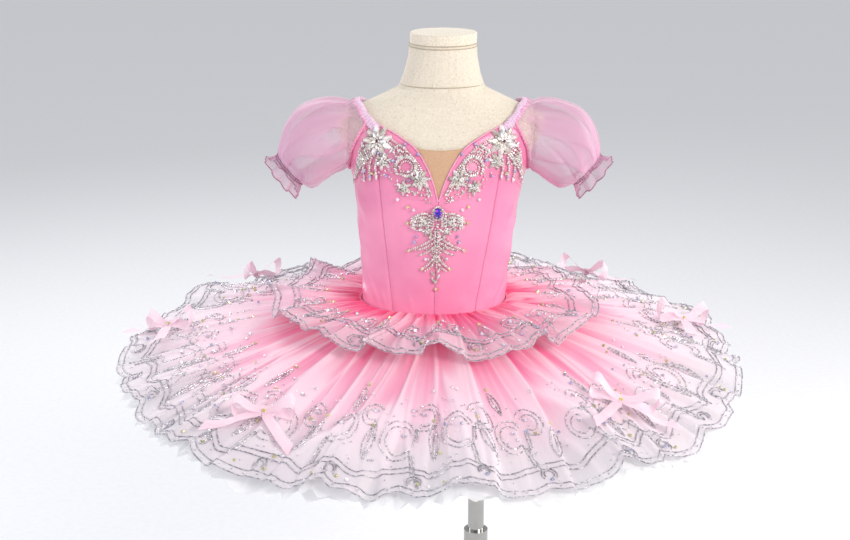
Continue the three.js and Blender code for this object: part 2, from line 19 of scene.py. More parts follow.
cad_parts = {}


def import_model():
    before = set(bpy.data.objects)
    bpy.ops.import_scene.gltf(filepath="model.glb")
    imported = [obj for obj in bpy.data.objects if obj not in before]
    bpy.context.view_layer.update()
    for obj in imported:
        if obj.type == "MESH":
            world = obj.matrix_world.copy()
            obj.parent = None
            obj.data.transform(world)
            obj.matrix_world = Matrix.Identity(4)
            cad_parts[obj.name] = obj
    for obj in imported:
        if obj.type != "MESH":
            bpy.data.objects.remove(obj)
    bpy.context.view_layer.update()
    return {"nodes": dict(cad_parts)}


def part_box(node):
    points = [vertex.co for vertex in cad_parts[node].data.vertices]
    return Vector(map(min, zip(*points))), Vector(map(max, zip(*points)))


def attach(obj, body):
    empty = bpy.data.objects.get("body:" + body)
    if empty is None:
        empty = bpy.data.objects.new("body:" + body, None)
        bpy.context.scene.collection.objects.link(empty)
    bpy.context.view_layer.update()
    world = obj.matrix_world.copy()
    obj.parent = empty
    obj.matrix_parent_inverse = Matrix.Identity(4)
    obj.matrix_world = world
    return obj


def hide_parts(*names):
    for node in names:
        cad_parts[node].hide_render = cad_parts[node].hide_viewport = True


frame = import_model()

LOG = logging.getLogger("tutu")
MM = 0.001
TAU = 2 * math.pi
FIGURE = "figure"
PAINTED_GLINTS = (0.6, 0.8, 0.95, 1.0, 1.0)  # painted glints: how bright each facet of a stone or bead is painted
LEAN = 0.0346  # the figure leans this much towards the wearer's left
LEAN_FOOT = -95.0  # the height at which the lean starts, below the waist
FORM_BOTTOM = -150.0  # the form's underside, below the waist
WAIST_HEIGHT = round(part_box("form_torso")[0].z / MM) - FORM_BOTTOM
FORM_INSIDE = Vector((0.0, 0.0, 0.74))  # a point inside the form, which its cloth faces away from


# ---- Curves and surfaces ---------------------------------------------------------------------


class Profile:
    """One value along a table, on a smooth curve that doesn't overshoot its rows."""

    def __init__(self, rows: Sequence[tuple[float, float]]) -> None:
        """Works out the slopes.

        Args:
            rows: pairs of place and value, the places rising.
        """
        self.at, self.value = np.array(rows, float).T
        slopes = np.diff(self.value) / np.diff(self.at)
        mean = (self.value[2:] - self.value[:-2]) / (self.at[2:] - self.at[:-2])
        inner = np.where(slopes[:-1] * slopes[1:] <= 0, 0.0, mean)
        self.slope = np.concatenate((slopes[:1], inner, slopes[-1:]))

    def __call__(self, at: np.ndarray | float) -> np.ndarray:
        """The values at these places."""
        at = np.asarray(at, float)
        i = np.clip(np.searchsorted(self.at, at, side="right") - 1, 0, len(self.at) - 2)
        span = self.at[i + 1] - self.at[i]
        t = np.clip((at - self.at[i]) / span, 0, 1)
        rise = 3 * t**2 - 2 * t**3
        level = self.value[i] * (1 - rise) + self.value[i + 1] * rise
        bend = self.slope[i] * (t**3 - 2 * t**2 + t) + self.slope[i + 1] * (t**3 - t**2)
        return level + bend * span


def profile(*rows: tuple[float, float]) -> Profile:
    """A dataclass field that starts as a Profile of these rows."""
    return field(default_factory=lambda: Profile(rows))


def lerp(a: float | np.ndarray, b: float | np.ndarray, t: float | np.ndarray) -> float | np.ndarray:
    """The value that lies at share t of the way from a to b."""
    return a + (b - a) * t


def soft_step(low: float, high: float, at: np.ndarray) -> np.ndarray:
    """A share that rises smoothly from 0 at low to 1 at high."""
    t = np.clip((at - low) / (high - low), 0, 1)
    return t * t * (3 - 2 * t)


def stack(x: float | np.ndarray, y: float | np.ndarray, z: float | np.ndarray) -> np.ndarray:
    """Points from their three coordinates."""
    return np.column_stack(np.broadcast_arrays(x, y, z))


def world(points: np.ndarray) -> np.ndarray:
    """Body millimetres as metres in the shared frame, with the figure's lean."""
    x, y, z = np.atleast_2d(points).T
    return stack(x + LEAN * (z - LEAN_FOOT), y, z + WAIST_HEIGHT) * MM


Surface = Callable[[np.ndarray, np.ndarray], np.ndarray]


class Body:
    """The general figure under the bodice: an oval at each height."""

    WIDTH = Profile([
        (-150, 70), (-146, 78), (-135, 87), (-110, 94), (-60, 93), (-30, 90.5), (0, 88), (40, 90), (90, 96),
        (129, 100), (160, 107), (175, 113), (190, 121), (205, 128), (214, 130), (225, 127), (233, 111),
        (240, 95), (250, 73), (259, 53.9), (275, 47.8), (295, 43.3), (311, 41.8),
    ])
    DEPTH = Profile([
        (-150, 52), (-146, 60), (-135, 70), (-110, 77), (-60, 77), (-30, 75.5), (0, 73), (40, 75), (90, 80),
        (129, 82), (160, 79), (175, 75), (190, 70), (205, 64), (214, 58), (225, 50), (233, 46),
        (240, 44.5), (250, 44.5), (259, 45.5), (275, 45), (295, 43.3), (311, 41.8),
    ])
    STEP = 0.5

    @classmethod
    def point(cls, angle: np.ndarray, z: np.ndarray, lift: np.ndarray | float) -> np.ndarray:
        """Points outside the body, in body millimetres.

        Args:
            angle: radians from the centre front, towards the wearer's left.
            z: heights above the waist.
            lift: how far outside the body.

        Returns:
            One row of x, y and z for each point.
        """
        angle, z, lift = np.broadcast_arrays(np.asarray(angle, float), z, lift)
        width, depth = cls.WIDTH(z), cls.DEPTH(z)
        widening = (cls.WIDTH(z + cls.STEP) - cls.WIDTH(z - cls.STEP)) / (2 * cls.STEP)
        deepening = (cls.DEPTH(z + cls.STEP) - cls.DEPTH(z - cls.STEP)) / (2 * cls.STEP)
        sine, cosine = np.sin(angle), np.cos(angle)
        normal = stack(
            depth * sine,
            -width * cosine,
            -(width * deepening * cosine**2 + depth * widening * sine**2),
        )
        normal /= np.linalg.norm(normal, axis=1)[:, None]
        return stack(width * sine, -depth * cosine, z) + normal * lift[:, None]

    @classmethod
    def front_angle(cls, x: np.ndarray, z: np.ndarray) -> np.ndarray:
        """The angle at which the front of the body is x from its middle."""
        return np.arcsin(np.clip(x / cls.WIDTH(z), -1, 1))

    @classmethod
    def front(cls, x: np.ndarray, z: np.ndarray, lift: np.ndarray | float) -> np.ndarray:
        """Points over the front of the body at these x and z."""
        return cls.point(cls.front_angle(x, z), z, lift)


# ---- Meshes ----------------------------------------------------------------------------------


def link(name: str, data: bpy.types.ID | None) -> bpy.types.Object:
    """A new object in the scene."""
    made = bpy.data.objects.new(name, data)
    bpy.context.scene.collection.objects.link(made)
    return made


def piece(name: str, mesh: bpy.types.Mesh) -> bpy.types.Object:
    """A new object for a mesh, in the scene and riding on the figure."""
    made = link(name, mesh)
    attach(made, FIGURE)
    LOG.info("%s: %d faces", name, len(mesh.polygons))
    return made


def turn_out(mesh: bpy.types.Mesh, inside: Vector) -> None:
    """Makes an open sheet's faces point away from a point inside it."""
    count = len(mesh.polygons)
    normals, centres, areas = np.empty(count * 3), np.empty(count * 3), np.empty(count)
    mesh.polygons.foreach_get("normal", normals)
    mesh.polygons.foreach_get("center", centres)
    mesh.polygons.foreach_get("area", areas)
    outward = (normals.reshape(-1, 3) * (centres.reshape(-1, 3) - np.array(inside))).sum(axis=1)
    if (outward * areas).sum() < 0:
        mesh.flip_normals()


def cloth(
    name: str, columns: int, rows: int, shape: Surface, inside: Vector = FORM_INSIDE, ring: bool = False,
    ends: bool = False, doubled: Callable[[np.ndarray, np.ndarray], np.ndarray] | None = None,
) -> bpy.types.Object:
    """A sheet of cloth, shaped from a flat grid.

    Args:
        name: the piece's name.
        columns: faces across the grid.
        rows: faces along it.
        shape: gives body points from the shares u and v of the grid's width and length.
        inside: a point that the cloth faces away from.
        ring: whether the two sides of the grid meet and are joined.
        ends: whether the open ends of a ring are filled.
        doubled: gives how far the cloth lies doubled on itself, from 0 to 1.

    Returns:
        The piece, with its flat shares as the UV map "cut" and doubled as the attribute "fold".
    """
    grid = bmesh.new()
    bmesh.ops.create_grid(grid, x_segments=columns, y_segments=rows, size=0.5)
    mesh = bpy.data.meshes.new(name)
    grid.to_mesh(mesh)
    grid.free()
    flat = np.empty(len(mesh.vertices) * 3, np.float32)
    mesh.vertices.foreach_get("co", flat)
    u, v = flat.reshape(-1, 3)[:, :2].T.astype(float) + 0.5
    corner = np.empty(len(mesh.loops), np.int32)
    mesh.loops.foreach_get("vertex_index", corner)
    shares = np.column_stack((u, v))[corner].astype(np.float32)
    mesh.uv_layers.new(name="cut").data.foreach_set("uv", shares.ravel())
    if doubled:
        mark = mesh.attributes.new("fold", "FLOAT", "POINT")
        mark.data.foreach_set("value", doubled(u, v).astype(np.float32))
    points = world(shape(u, v)).astype(np.float32)
    mesh.vertices.foreach_set("co", points.ravel())
    mesh.update()
    if ring:
        joined = bmesh.new()
        joined.from_mesh(mesh)
        bmesh.ops.remove_doubles(joined, verts=joined.verts, dist=1e-6)
        if ends:
            bmesh.ops.holes_fill(joined, edges=joined.edges, sides=0)
            bmesh.ops.recalc_face_normals(joined, faces=joined.faces)
        joined.to_mesh(mesh)
        joined.free()
    if not ends:
        turn_out(mesh, inside)
    mesh.shade_smooth()
    return piece(name, mesh)


def thicken(made: bpy.types.Object, millimetres: float) -> None:
    """Gives a sheet its thickness, inwards from its face."""
    wall = made.modifiers.new("thickness", "SOLIDIFY")
    wall.thickness = millimetres * MM
    wall.offset = -1


def threads(name: str, lines: Iterable[np.ndarray], radius: float) -> bpy.types.Object:
    """Threads or cords along lines of body points, joined in one mesh.

    Args:
        name: the piece's name.
        lines: one array of body points for each thread.
        radius: the thread's radius in millimetres.

    Returns:
        The piece.
    """
    curve = bpy.data.curves.new(name, "CURVE")
    curve.dimensions = "3D"
    curve.bevel_depth = radius * MM
    curve.bevel_resolution = 0
    curve.use_fill_caps = True
    for line in lines:
        points = world(line)
        spline = curve.splines.new("POLY")
        spline.points.add(len(points) - 1)
        spline.points.foreach_set("co", np.column_stack((points, np.ones(len(points)))).ravel())
    drawn = link(name, curve)
    bpy.context.view_layer.update()
    mesh = bpy.data.meshes.new_from_object(drawn.evaluated_get(bpy.context.evaluated_depsgraph_get()))
    mesh.name = name
    bpy.data.objects.remove(drawn)
    mesh.shade_smooth()
    return piece(name, mesh)


def dashes(line: np.ndarray, dash: float, gap: float) -> list[np.ndarray]:
    """A line cut into stitches.

    Args:
        line: body points.
        dash: a stitch's length in millimetres.
        gap: the space after it.

    Returns:
        The two ends of each stitch.
    """
    steps = np.linalg.norm(np.diff(line, axis=0), axis=1)
    along = np.concatenate(([0.0], np.cumsum(steps)))
    starts = np.arange(0, along[-1] - dash, dash + gap)
    ends = [
        np.column_stack([np.interp(starts + shift, along, line[:, k]) for k in range(3)])
        for shift in (0.0, dash)
    ]
    return [np.array(pair) for pair in zip(*ends)]


class Cut(Enum):
    """How a stone or bead is shaped, as its number of sides and the share of its width at the top."""

    ROUND = (8, 0.55)
    NAVETTE = (6, 0.4)
    BEAD = (6, 0.7)


@dataclass(frozen=True)
class Gem:
    """One stone or bead that is sewn or glued on."""

    at: np.ndarray  # body point under its middle
    up: np.ndarray  # the way it faces
    along: np.ndarray  # the way its length lies
    length: float
    width: float
    height: float
    cut: Cut
    tint: int = 0

    def matrix(self) -> Matrix:
        """Turns a unit stone that stands on its own base into this one, in the shared frame."""
        up = Vector(self.up).normalized()
        along = Vector(self.along)
        along = (along - up * along.dot(up)).normalized()
        across = up.cross(along)
        at = Vector(world(self.at)[0]) + up * self.height * MM / 2
        turned = Matrix((along, across, up)).transposed().to_4x4()
        sized = Matrix.Diagonal((self.length * MM, self.width * MM, self.height * MM, 1))
        return Matrix.Translation(at) @ turned @ sized


def unit_stone(cut: Cut) -> tuple[np.ndarray, list[list[int]]]:
    """A stone or bead one unit across: its corners, and the corners of each of its facets."""
    made = bmesh.new()
    sides, top = cut.value
    if cut is Cut.BEAD:
        bmesh.ops.create_uvsphere(made, u_segments=sides, v_segments=4, radius=0.5)
    else:
        bmesh.ops.create_cone(made, cap_ends=True, segments=sides, radius1=0.5, radius2=top / 2, depth=1)
    bmesh.ops.recalc_face_normals(made, faces=made.faces)
    corners = np.array([v.co for v in made.verts])
    facets = [[v.index for v in f.verts] for f in made.faces]
    made.free()
    return corners, facets


def gems(name: str, settings: Sequence[Gem], tints: Sequence[str], seed: int) -> bpy.types.Object:
    """Stones or beads, joined in one mesh, with a painted glint for each facet.

    Args:
        name: the piece's name.
        settings: the stones, in order.
        tints: the colours that each stone's tint picks from.
        seed: what the facets' painted glints are drawn from.

    Returns:
        The piece, with the attribute "facet" for its colour and painted glint.
    """
    units = {cut: unit_stone(cut) for cut in Cut}
    rng = random.Random(seed)
    points, facets, glinted_colours, first = [], [], [], 0
    for gem in settings:
        corners, faces = units[gem.cut]
        matrix = np.array(gem.matrix())
        points.append(corners @ matrix[:3, :3].T + matrix[:3, 3])
        facets.extend([first + i for i in face] for face in faces)
        first += len(corners)
        base = np.array(linear(tints[gem.tint % len(tints)]))
        for face in faces:
            # each facet is painted a random brightness that stands in for its glint
            painted_glint = rng.choice(PAINTED_GLINTS)
            glinted_colours.extend([base[0] * painted_glint, base[1] * painted_glint, base[2] * painted_glint, 1.0] * len(face))
    mesh = bpy.data.meshes.new(name)
    mesh.from_pydata(np.concatenate(points), [], facets)
    colour_and_glint = mesh.color_attributes.new("facet", "FLOAT_COLOR", "CORNER")
    colour_and_glint.data.foreach_set("color", np.array(glinted_colours, np.float32))
    return piece(name, mesh)


# ---- Finishes --------------------------------------------------------------------------------


def linear(colour: str) -> tuple[float, float, float, float]:
    """An sRGB hex colour as linear red, green, blue and full alpha."""
    parts = [int(colour[i : i + 2], 16) / 255 for i in (1, 3, 5)]
    red, green, blue = [c / 12.92 if c <= 0.04045 else ((c + 0.055) / 1.055) ** 2.4 for c in parts]
    return red, green, blue, 1.0


def add(
    tree: bpy.types.NodeTree, kind: str, inputs: dict | None = None, settings: dict | None = None
) -> bpy.types.Node:
    """Adds a node with its settings, values and links.

    Args:
        tree: the material's node tree.
        kind: the node's type, without its common start.
        inputs: a value or another node's output for each named or numbered input.
        settings: the node's own properties.

    Returns:
        The node.
    """
    made = tree.nodes.new("ShaderNode" + kind)
    for key, value in (settings or {}).items():
        if key == "stops":
            elements = made.color_ramp.elements
            while len(elements) < len(value):
                elements.new(0.5)
            for element, (place, colour) in zip(elements, value):
                element.position = place
                element.color = linear(colour) if isinstance(colour, str) else (colour, colour, colour, 1)
        else:
            setattr(made, key, value)
    for key, value in (inputs or {}).items():
        if isinstance(value, bpy.types.NodeSocket):
            tree.links.new(value, made.inputs[key])
        else:
            made.inputs[key].default_value = value
    return made


@dataclass(frozen=True)
class Finish:
    """A finish: it makes its material once and hands it out."""

    name: str

    def dress(self, *made: bpy.types.Object) -> None:
        """Gives pieces this finish."""
        material = bpy.data.materials.get(self.name) or self.make()
        for one in made:
            one.data.materials.clear()
            one.data.materials.append(material)

    def dress_node(self, *names: str) -> None:
        """Gives CAD nodes this finish on their own slots."""
        material = bpy.data.materials.get(self.name) or self.make()
        for name in names:
            for place in frame["nodes"][name].material_slots:
                place.material = material

    def make(self) -> bpy.types.Material:
        """A new material of this finish."""
        material = bpy.data.materials.new(self.name)
        material.use_nodes = True
        tree = material.node_tree
        tree.nodes.clear()
        shader = add(tree, "BsdfPrincipled")
        add(tree, "OutputMaterial", {"Surface": shader.outputs[0]})
        self.paint(tree, shader)
        return material

    def paint(self, tree: bpy.types.NodeTree, shader: bpy.types.Node) -> None:
        """Sets the shader's sockets and links. Each finish has its own."""


def set_sockets(shader: bpy.types.Node, **values: float | tuple) -> None:
    """Sets constants on the shader's own sockets, named with _ for a space."""
    for key, value in values.items():
        shader.inputs[key.replace("_", " ")].default_value = value


@dataclass(frozen=True)
class Satin(Finish):
    """Woven polyester satin over boning: a close weave with a soft broad shine and slight unevenness."""

    deep: str = "#e880ab"
    light: str = "#fb9abf"

    def paint(self, tree: bpy.types.NodeTree, shader: bpy.types.Node) -> None:
        """Pink with cloudy depth, a fine twill bump and small creases."""
        place = add(tree, "TexCoord")
        cloud = add(tree, "TexNoise", {"Vector": place.outputs["Object"], "Scale": 9.0, "Detail": 3.0})
        tint = add(
            tree, "ValToRGB", {"Fac": cloud.outputs[0]}, {"stops": [(0.3, self.deep), (0.7, self.light)]}
        )
        # 1.2 mm floats stand for the satin's 0.2 mm ones, which are too fine to show
        weave = add(
            tree, "TexWave", {"Vector": place.outputs["Object"], "Scale": 260.0, "Distortion": 1.5},
            {"bands_direction": "DIAGONAL"},
        )
        crease = add(tree, "TexNoise", {"Vector": place.outputs["Object"], "Scale": 26.0, "Detail": 2.0})
        fine = add(tree, "Bump", {"Height": weave.outputs[1], "Strength": 0.06, "Distance": 0.0004})
        bump = add(
            tree, "Bump",
            {"Height": crease.outputs[0], "Strength": 0.25, "Distance": 0.002, "Normal": fine.outputs[0]},
        )
        tree.links.new(tint.outputs[0], shader.inputs["Base Color"])
        tree.links.new(bump.outputs[0], shader.inputs["Normal"])
        set_sockets(shader, Roughness=0.25, Specular_IOR_Level=0.85, Sheen_Weight=0.3, Sheen_Roughness=0.4)
        shader.inputs["Sheen Tint"].default_value = linear("#ffc6de")


@dataclass(frozen=True)
class Sheer(Finish):
    """Sheer net or organza, dyed from one colour to another from its seam to its edge."""

    stops: tuple[tuple[float, str], ...] = ((0.0, "#ffffff"), (1.0, "#ffffff"))
    cover: tuple[tuple[float, float], ...] = ((0.0, 0.6), (1.0, 0.6))  # how much the cloth hides
    folds: float = 120.0  # soft streaks around the whole piece
    # the colour where the cloth lies double: a deeper dye on the organza, a painted highlight along the folds
    # where it is paler than the dye
    doubled_tint_and_highlight: str = "#ffffff"
    doubled_tint_and_highlight_share: float = 0.35
    grazing: float = 0.35  # how much denser it looks edge on
    shine: float = 0.4
    doubling: float = 0.14  # how much denser it is where it lies double

    def paint(self, tree: bpy.types.NodeTree, shader: bpy.types.Node) -> None:
        """The dye along the cut; streaks where gathers double the cloth, deeper on the organza and a painted
        highlight on the paler tulles and ribbon; and a denser look edge on.
        """
        cut = add(tree, "UVMap", settings={"uv_map": "cut"})
        parts = add(tree, "SeparateXYZ", {0: cut.outputs[0]})
        dye = add(tree, "ValToRGB", {"Fac": parts.outputs[1]}, {"stops": list(self.stops)})
        scaled = add(tree, "Mapping", {"Vector": cut.outputs[0], "Scale": (self.folds, 1.6, 1.0)})
        streaks = add(tree, "TexNoise", {"Vector": scaled.outputs[0], "Scale": 1.0, "Detail": 3.0})
        folded = add(tree, "Attribute", settings={"attribute_name": "fold"})
        both = add(
            tree, "Math", {0: streaks.outputs[0], 1: 0.55, 2: folded.outputs["Fac"]},
            {"operation": "MULTIPLY_ADD"},
        )
        doubled = add(tree, "ValToRGB", {"Fac": both.outputs[0]}, {"stops": [(0.24, 0.0), (0.95, 1.0)]})
        share = add(
            tree, "Math", {0: doubled.outputs[0], 1: self.doubled_tint_and_highlight_share}, {"operation": "MULTIPLY"}
        )
        # mixes in the doubled-cloth colour, which is a painted highlight along the folds where it is paler
        # than the dye
        tint = add(
            tree, "MixRGB", {"Fac": share.outputs[0], "Color1": dye.outputs[0], "Color2": linear(self.doubled_tint_and_highlight)}
        )
        tree.links.new(tint.outputs[0], shader.inputs["Base Color"])
        cover = add(tree, "ValToRGB", {"Fac": parts.outputs[1]}, {"stops": list(self.cover)})
        thick = add(
            tree, "Math", {0: doubled.outputs[0], 1: self.doubling, 2: cover.outputs[0]},
            {"operation": "MULTIPLY_ADD"},
        )
        edge = add(tree, "LayerWeight", {"Blend": 0.35})
        dense = add(
            tree, "Math", {0: edge.outputs["Facing"], 1: self.grazing, 2: thick.outputs[0]},
            {"operation": "MULTIPLY_ADD", "use_clamp": True},
        )
        tree.links.new(dense.outputs[0], shader.inputs["Alpha"])
        set_sockets(
            shader, Roughness=0.55, Specular_IOR_Level=0.3, Sheen_Weight=self.shine, Sheen_Roughness=0.3
        )


@dataclass(frozen=True)
class Plain(Finish):
    """A plain dyed cloth, ribbon, plastic or paint with a grain; on the silver threads the grain's light
    shade is a painted glint.
    """

    dark: str = "#808080"
    light: str = "#a0a0a0"
    grain_and_glints: float = 300.0  # how fine the grain and the painted glints on the silver threads are, in cycles for each metre
    bump: float = 0.3
    roughness: float = 0.6
    sheen: float = 0.2
    metallic: float = 0.0
    alpha: float = 1.0

    def paint(self, tree: bpy.types.NodeTree, shader: bpy.types.Node) -> None:
        """Two shades mixed by the grain, which also gives the bump; on the silver threads the light shade is
        a painted glint.
        """
        place = add(tree, "TexCoord")
        grain_and_glints = add(
            tree, "TexNoise", {"Vector": place.outputs["Object"], "Scale": self.grain_and_glints, "Detail": 4.0}
        )
        shades = [(0.35, self.dark), (0.62, self.light)]
        tint = add(tree, "ValToRGB", {"Fac": grain_and_glints.outputs[0]}, {"stops": shades})
        bump = add(tree, "Bump", {"Height": grain_and_glints.outputs[0], "Strength": self.bump, "Distance": 0.0006})
        tree.links.new(tint.outputs[0], shader.inputs["Base Color"])
        tree.links.new(bump.outputs[0], shader.inputs["Normal"])
        set_sockets(
            shader, Roughness=self.roughness, Sheen_Weight=self.sheen, Metallic=self.metallic,
            Alpha=self.alpha,
        )


@dataclass(frozen=True)
class Jewelled(Finish):
    """Foil-backed glass: each facet is painted its own brightness, a painted glint, so it glitters from every
    side.
    """

    roughness: float = 0.12
    metallic: float = 0.55

    def paint(self, tree: bpy.types.NodeTree, shader: bpy.types.Node) -> None:
        """The facet's colour with its painted glint, and a bright hard gloss."""
        colour_and_glint = add(tree, "VertexColor", settings={"layer_name": "facet"})
        tree.links.new(colour_and_glint.outputs[0], shader.inputs["Base Color"])
        set_sockets(
            shader, Roughness=self.roughness, Metallic=self.metallic, Coat_Weight=0.6, Coat_Roughness=0.05
        )


@dataclass(frozen=True)
class FormLinen(Finish):
    """Flecked linen jersey stretched over a moulded form."""

    def paint(self, tree: bpy.types.NodeTree, shader: bpy.types.Node) -> None:
        """Cream with darker slubs, a knit bump and a dry surface."""
        place = add(tree, "TexCoord")
        cloud = add(tree, "TexNoise", {"Vector": place.outputs["Object"], "Scale": 420.0, "Detail": 5.0})
        creams = [(0.3, "#d9cebb"), (0.7, "#e7decd")]
        tint = add(tree, "ValToRGB", {"Fac": cloud.outputs[0]}, {"stops": creams})
        # slubs 1 to 2 mm long, scattered a few to the square centimetre
        slubs = add(tree, "TexVoronoi", {"Vector": place.outputs["Object"], "Scale": 190.0})
        fleck = add(tree, "ValToRGB", {"Fac": slubs.outputs[0]}, {"stops": [(0.1, 1.0), (0.22, 0.0)]})
        faded = add(tree, "Math", {0: fleck.outputs[0], 1: 0.35}, {"operation": "MULTIPLY"})
        mixed = add(
            tree, "MixRGB", {"Fac": faded.outputs[0], "Color1": tint.outputs[0], "Color2": linear("#a3977f")}
        )
        knit = add(tree, "TexNoise", {"Vector": place.outputs["Object"], "Scale": 900.0, "Detail": 2.0})
        bump = add(tree, "Bump", {"Height": knit.outputs[0], "Strength": 0.35, "Distance": 0.0006})
        tree.links.new(mixed.outputs[0], shader.inputs["Base Color"])
        tree.links.new(bump.outputs[0], shader.inputs["Normal"])
        set_sockets(shader, Roughness=0.9, Sheen_Weight=0.2, Specular_IOR_Level=0.2)


class Finishes:
    """Every finish of the tutu and its stand."""

    SATIN = Satin("pink boned satin")
    LINEN = FormLinen("flecked linen jersey")
    CAP = Plain("cream neck cap cloth", "#d9cdb8", "#ece3d2", 500.0, 0.3, 0.85)
    SEAM = Plain("form seam thread", "#a99983", "#c4b69f", 900.0, 0.3, 0.9)
    INSERT = Plain("nude power mesh", "#bd9575", "#d0ab8a", 1400.0, 0.25, 0.75, 0.3)
    PIPING = Plain("pink satin piping", "#f094bb", "#fbaecb", 700.0, 0.2, 0.4, 0.3)
    ELASTIC = Plain("lilac ruched elastic", "#d9b3d0", "#e9cfe2", 800.0, 0.15, 0.5, 0.4)
    CHROME = Plain("polished chrome", "#a6a5a1", "#acaba7", 60.0, 0.0, 0.14, 0.0, 1.0)
    PLASTIC = Plain("black moulded plastic", "#17171a", "#222226", 900.0, 0.25, 0.5, 0.0)
    # on the silver cord and the sequin thread the light shade of the grain is a painted glint over the metal
    CORD = Plain("silver lurex cord", "#807d88", "#dedbe2", 300.0, 0.2, 0.38, 0.0, 0.6)
    STITCH = Plain("silver sequin thread", "#9c98a3", "#ffffff", 260.0, 0.2, 0.25, 0.0, 0.5)
    STONES = Jewelled("foiled crystal stones", 0.12, 0.3)
    BEADS = Jewelled("silver-lined glass beads", 0.22, 0.2)
    JEWEL = Jewelled("violet aurora jewel", 0.25, 0.0)
    NET_KNIT = Plain("gathered white net", "#e6d9de", "#f5eef1", 600.0, 0.4, 0.8, 0.3)
    HEM = Plain("rolled organza hem", "#8d5570", "#b98099", 700.0, 0.3, 0.6, 0.2)
    ORGANZA = Sheer(
        "pink crystal organza",
        (
            (0.0, "#f0a0c0"), (0.05, "#e9bfd2"), (0.5, "#e4c3d5"), (0.74, "#d5a5c0"), (0.79, "#c389aa"),
            (1.0, "#cf9fba"),
        ),
        ((0.0, 0.45), (0.05, 0.22), (0.6, 0.2), (0.73, 0.36), (0.785, 0.62), (0.84, 0.34), (1.0, 0.4)),
        22.0, "#d79ebc", 0.7, 0.5, 0.5, 0.42,
    )
    # on the tulles and the ribbon the streak colour, paler than the dye, is a painted highlight along the
    # folds; on the organza it is the deeper colour of cloth lying double
    OVERLAY = Sheer(
        "ombre tulle overlay",
        ((0.0, "#f0477f"), (0.3, "#f26a98"), (0.6, "#ec93b5"), (0.85, "#e4b3c7"), (1.0, "#dcc6d0")),
        ((0.0, 0.82), (0.5, 0.6), (1.0, 0.46)),
        150.0, "#fde0ea", 0.55, 0.3, 0.4,
    )
    PLATE = Sheer(
        "ombre tulle plate",
        (
            (0.0, "#e2386f"), (0.3, "#ee6b98"), (0.43, "#ef86ab"), (0.56, "#f0a6c1"), (0.7, "#ebc3d3"),
            (0.83, "#dfd3da"), (1.0, "#d6d6da"),
        ),
        ((0.0, 0.95), (0.6, 0.84), (0.85, 0.66), (1.0, 0.45)),
        190.0, "#f8e9f0", 0.62, 0.25, 0.35,
    )
    NET = Sheer(
        "stiff white net",
        ((0.0, "#f2a9c3"), (0.35, "#f1e4ea"), (1.0, "#eceef0")),
        ((0.0, 0.8), (0.7, 0.62), (1.0, 0.5)),
        240.0, "#ffffff", 0.5, 0.25, 0.2,
    )
    LACE_NET = Sheer(
        "silver lace net", ((0.0, "#f1b9cf"), (1.0, "#efc4d6")), ((0.0, 0.03), (1.0, 0.03)), 40.0, "#ffffff",
        0.3, 0.2, 0.2,
    )
    RIBBON = Sheer(
        "pink organza ribbon", ((0.0, "#fad6e4"), (0.5, "#fbdfea"), (1.0, "#fad6e4")),
        ((0.0, 0.72), (1.0, 0.72)), 8.0, "#ffffff", 0.5, 0.25, 0.6,
    )


# ---- Dress form and stand --------------------------------------------------------------------


@dataclass
class DressForm:
    """The linen form: its CAD nodes stay, and it gets its seams."""

    neck_seam_z: float = 262.0
    collar_seams_z: tuple[float, float] = (307.0, 310.5)
    seam_lift: float = -0.9
    thread: float = 0.55

    def build(self) -> None:
        """Dresses the form's nodes and adds its seam threads."""
        around = np.linspace(0, TAU, 97)
        heights = (self.neck_seam_z, *self.collar_seams_z)
        rings = [Body.point(around, np.full(around.shape, z), self.seam_lift) for z in heights]
        seams = threads("form_seams", rings, self.thread)
        Finishes.SEAM.dress(seams)
        Finishes.LINEN.dress_node("form_torso")
        Finishes.CAP.dress_node("form_neck_cap")


@dataclass
class Stand:
    """The telescopic stand: every piece is its CAD node."""

    def build(self) -> None:
        """Dresses the stand's nodes."""
        Finishes.CHROME.dress_node("base_plate", "base_hub", "outer_tube", "pole_rod", "clamp_collar")
        Finishes.PLASTIC.dress_node("thumb_screw", "form_socket")


# ---- Bodice ----------------------------------------------------------------------------------


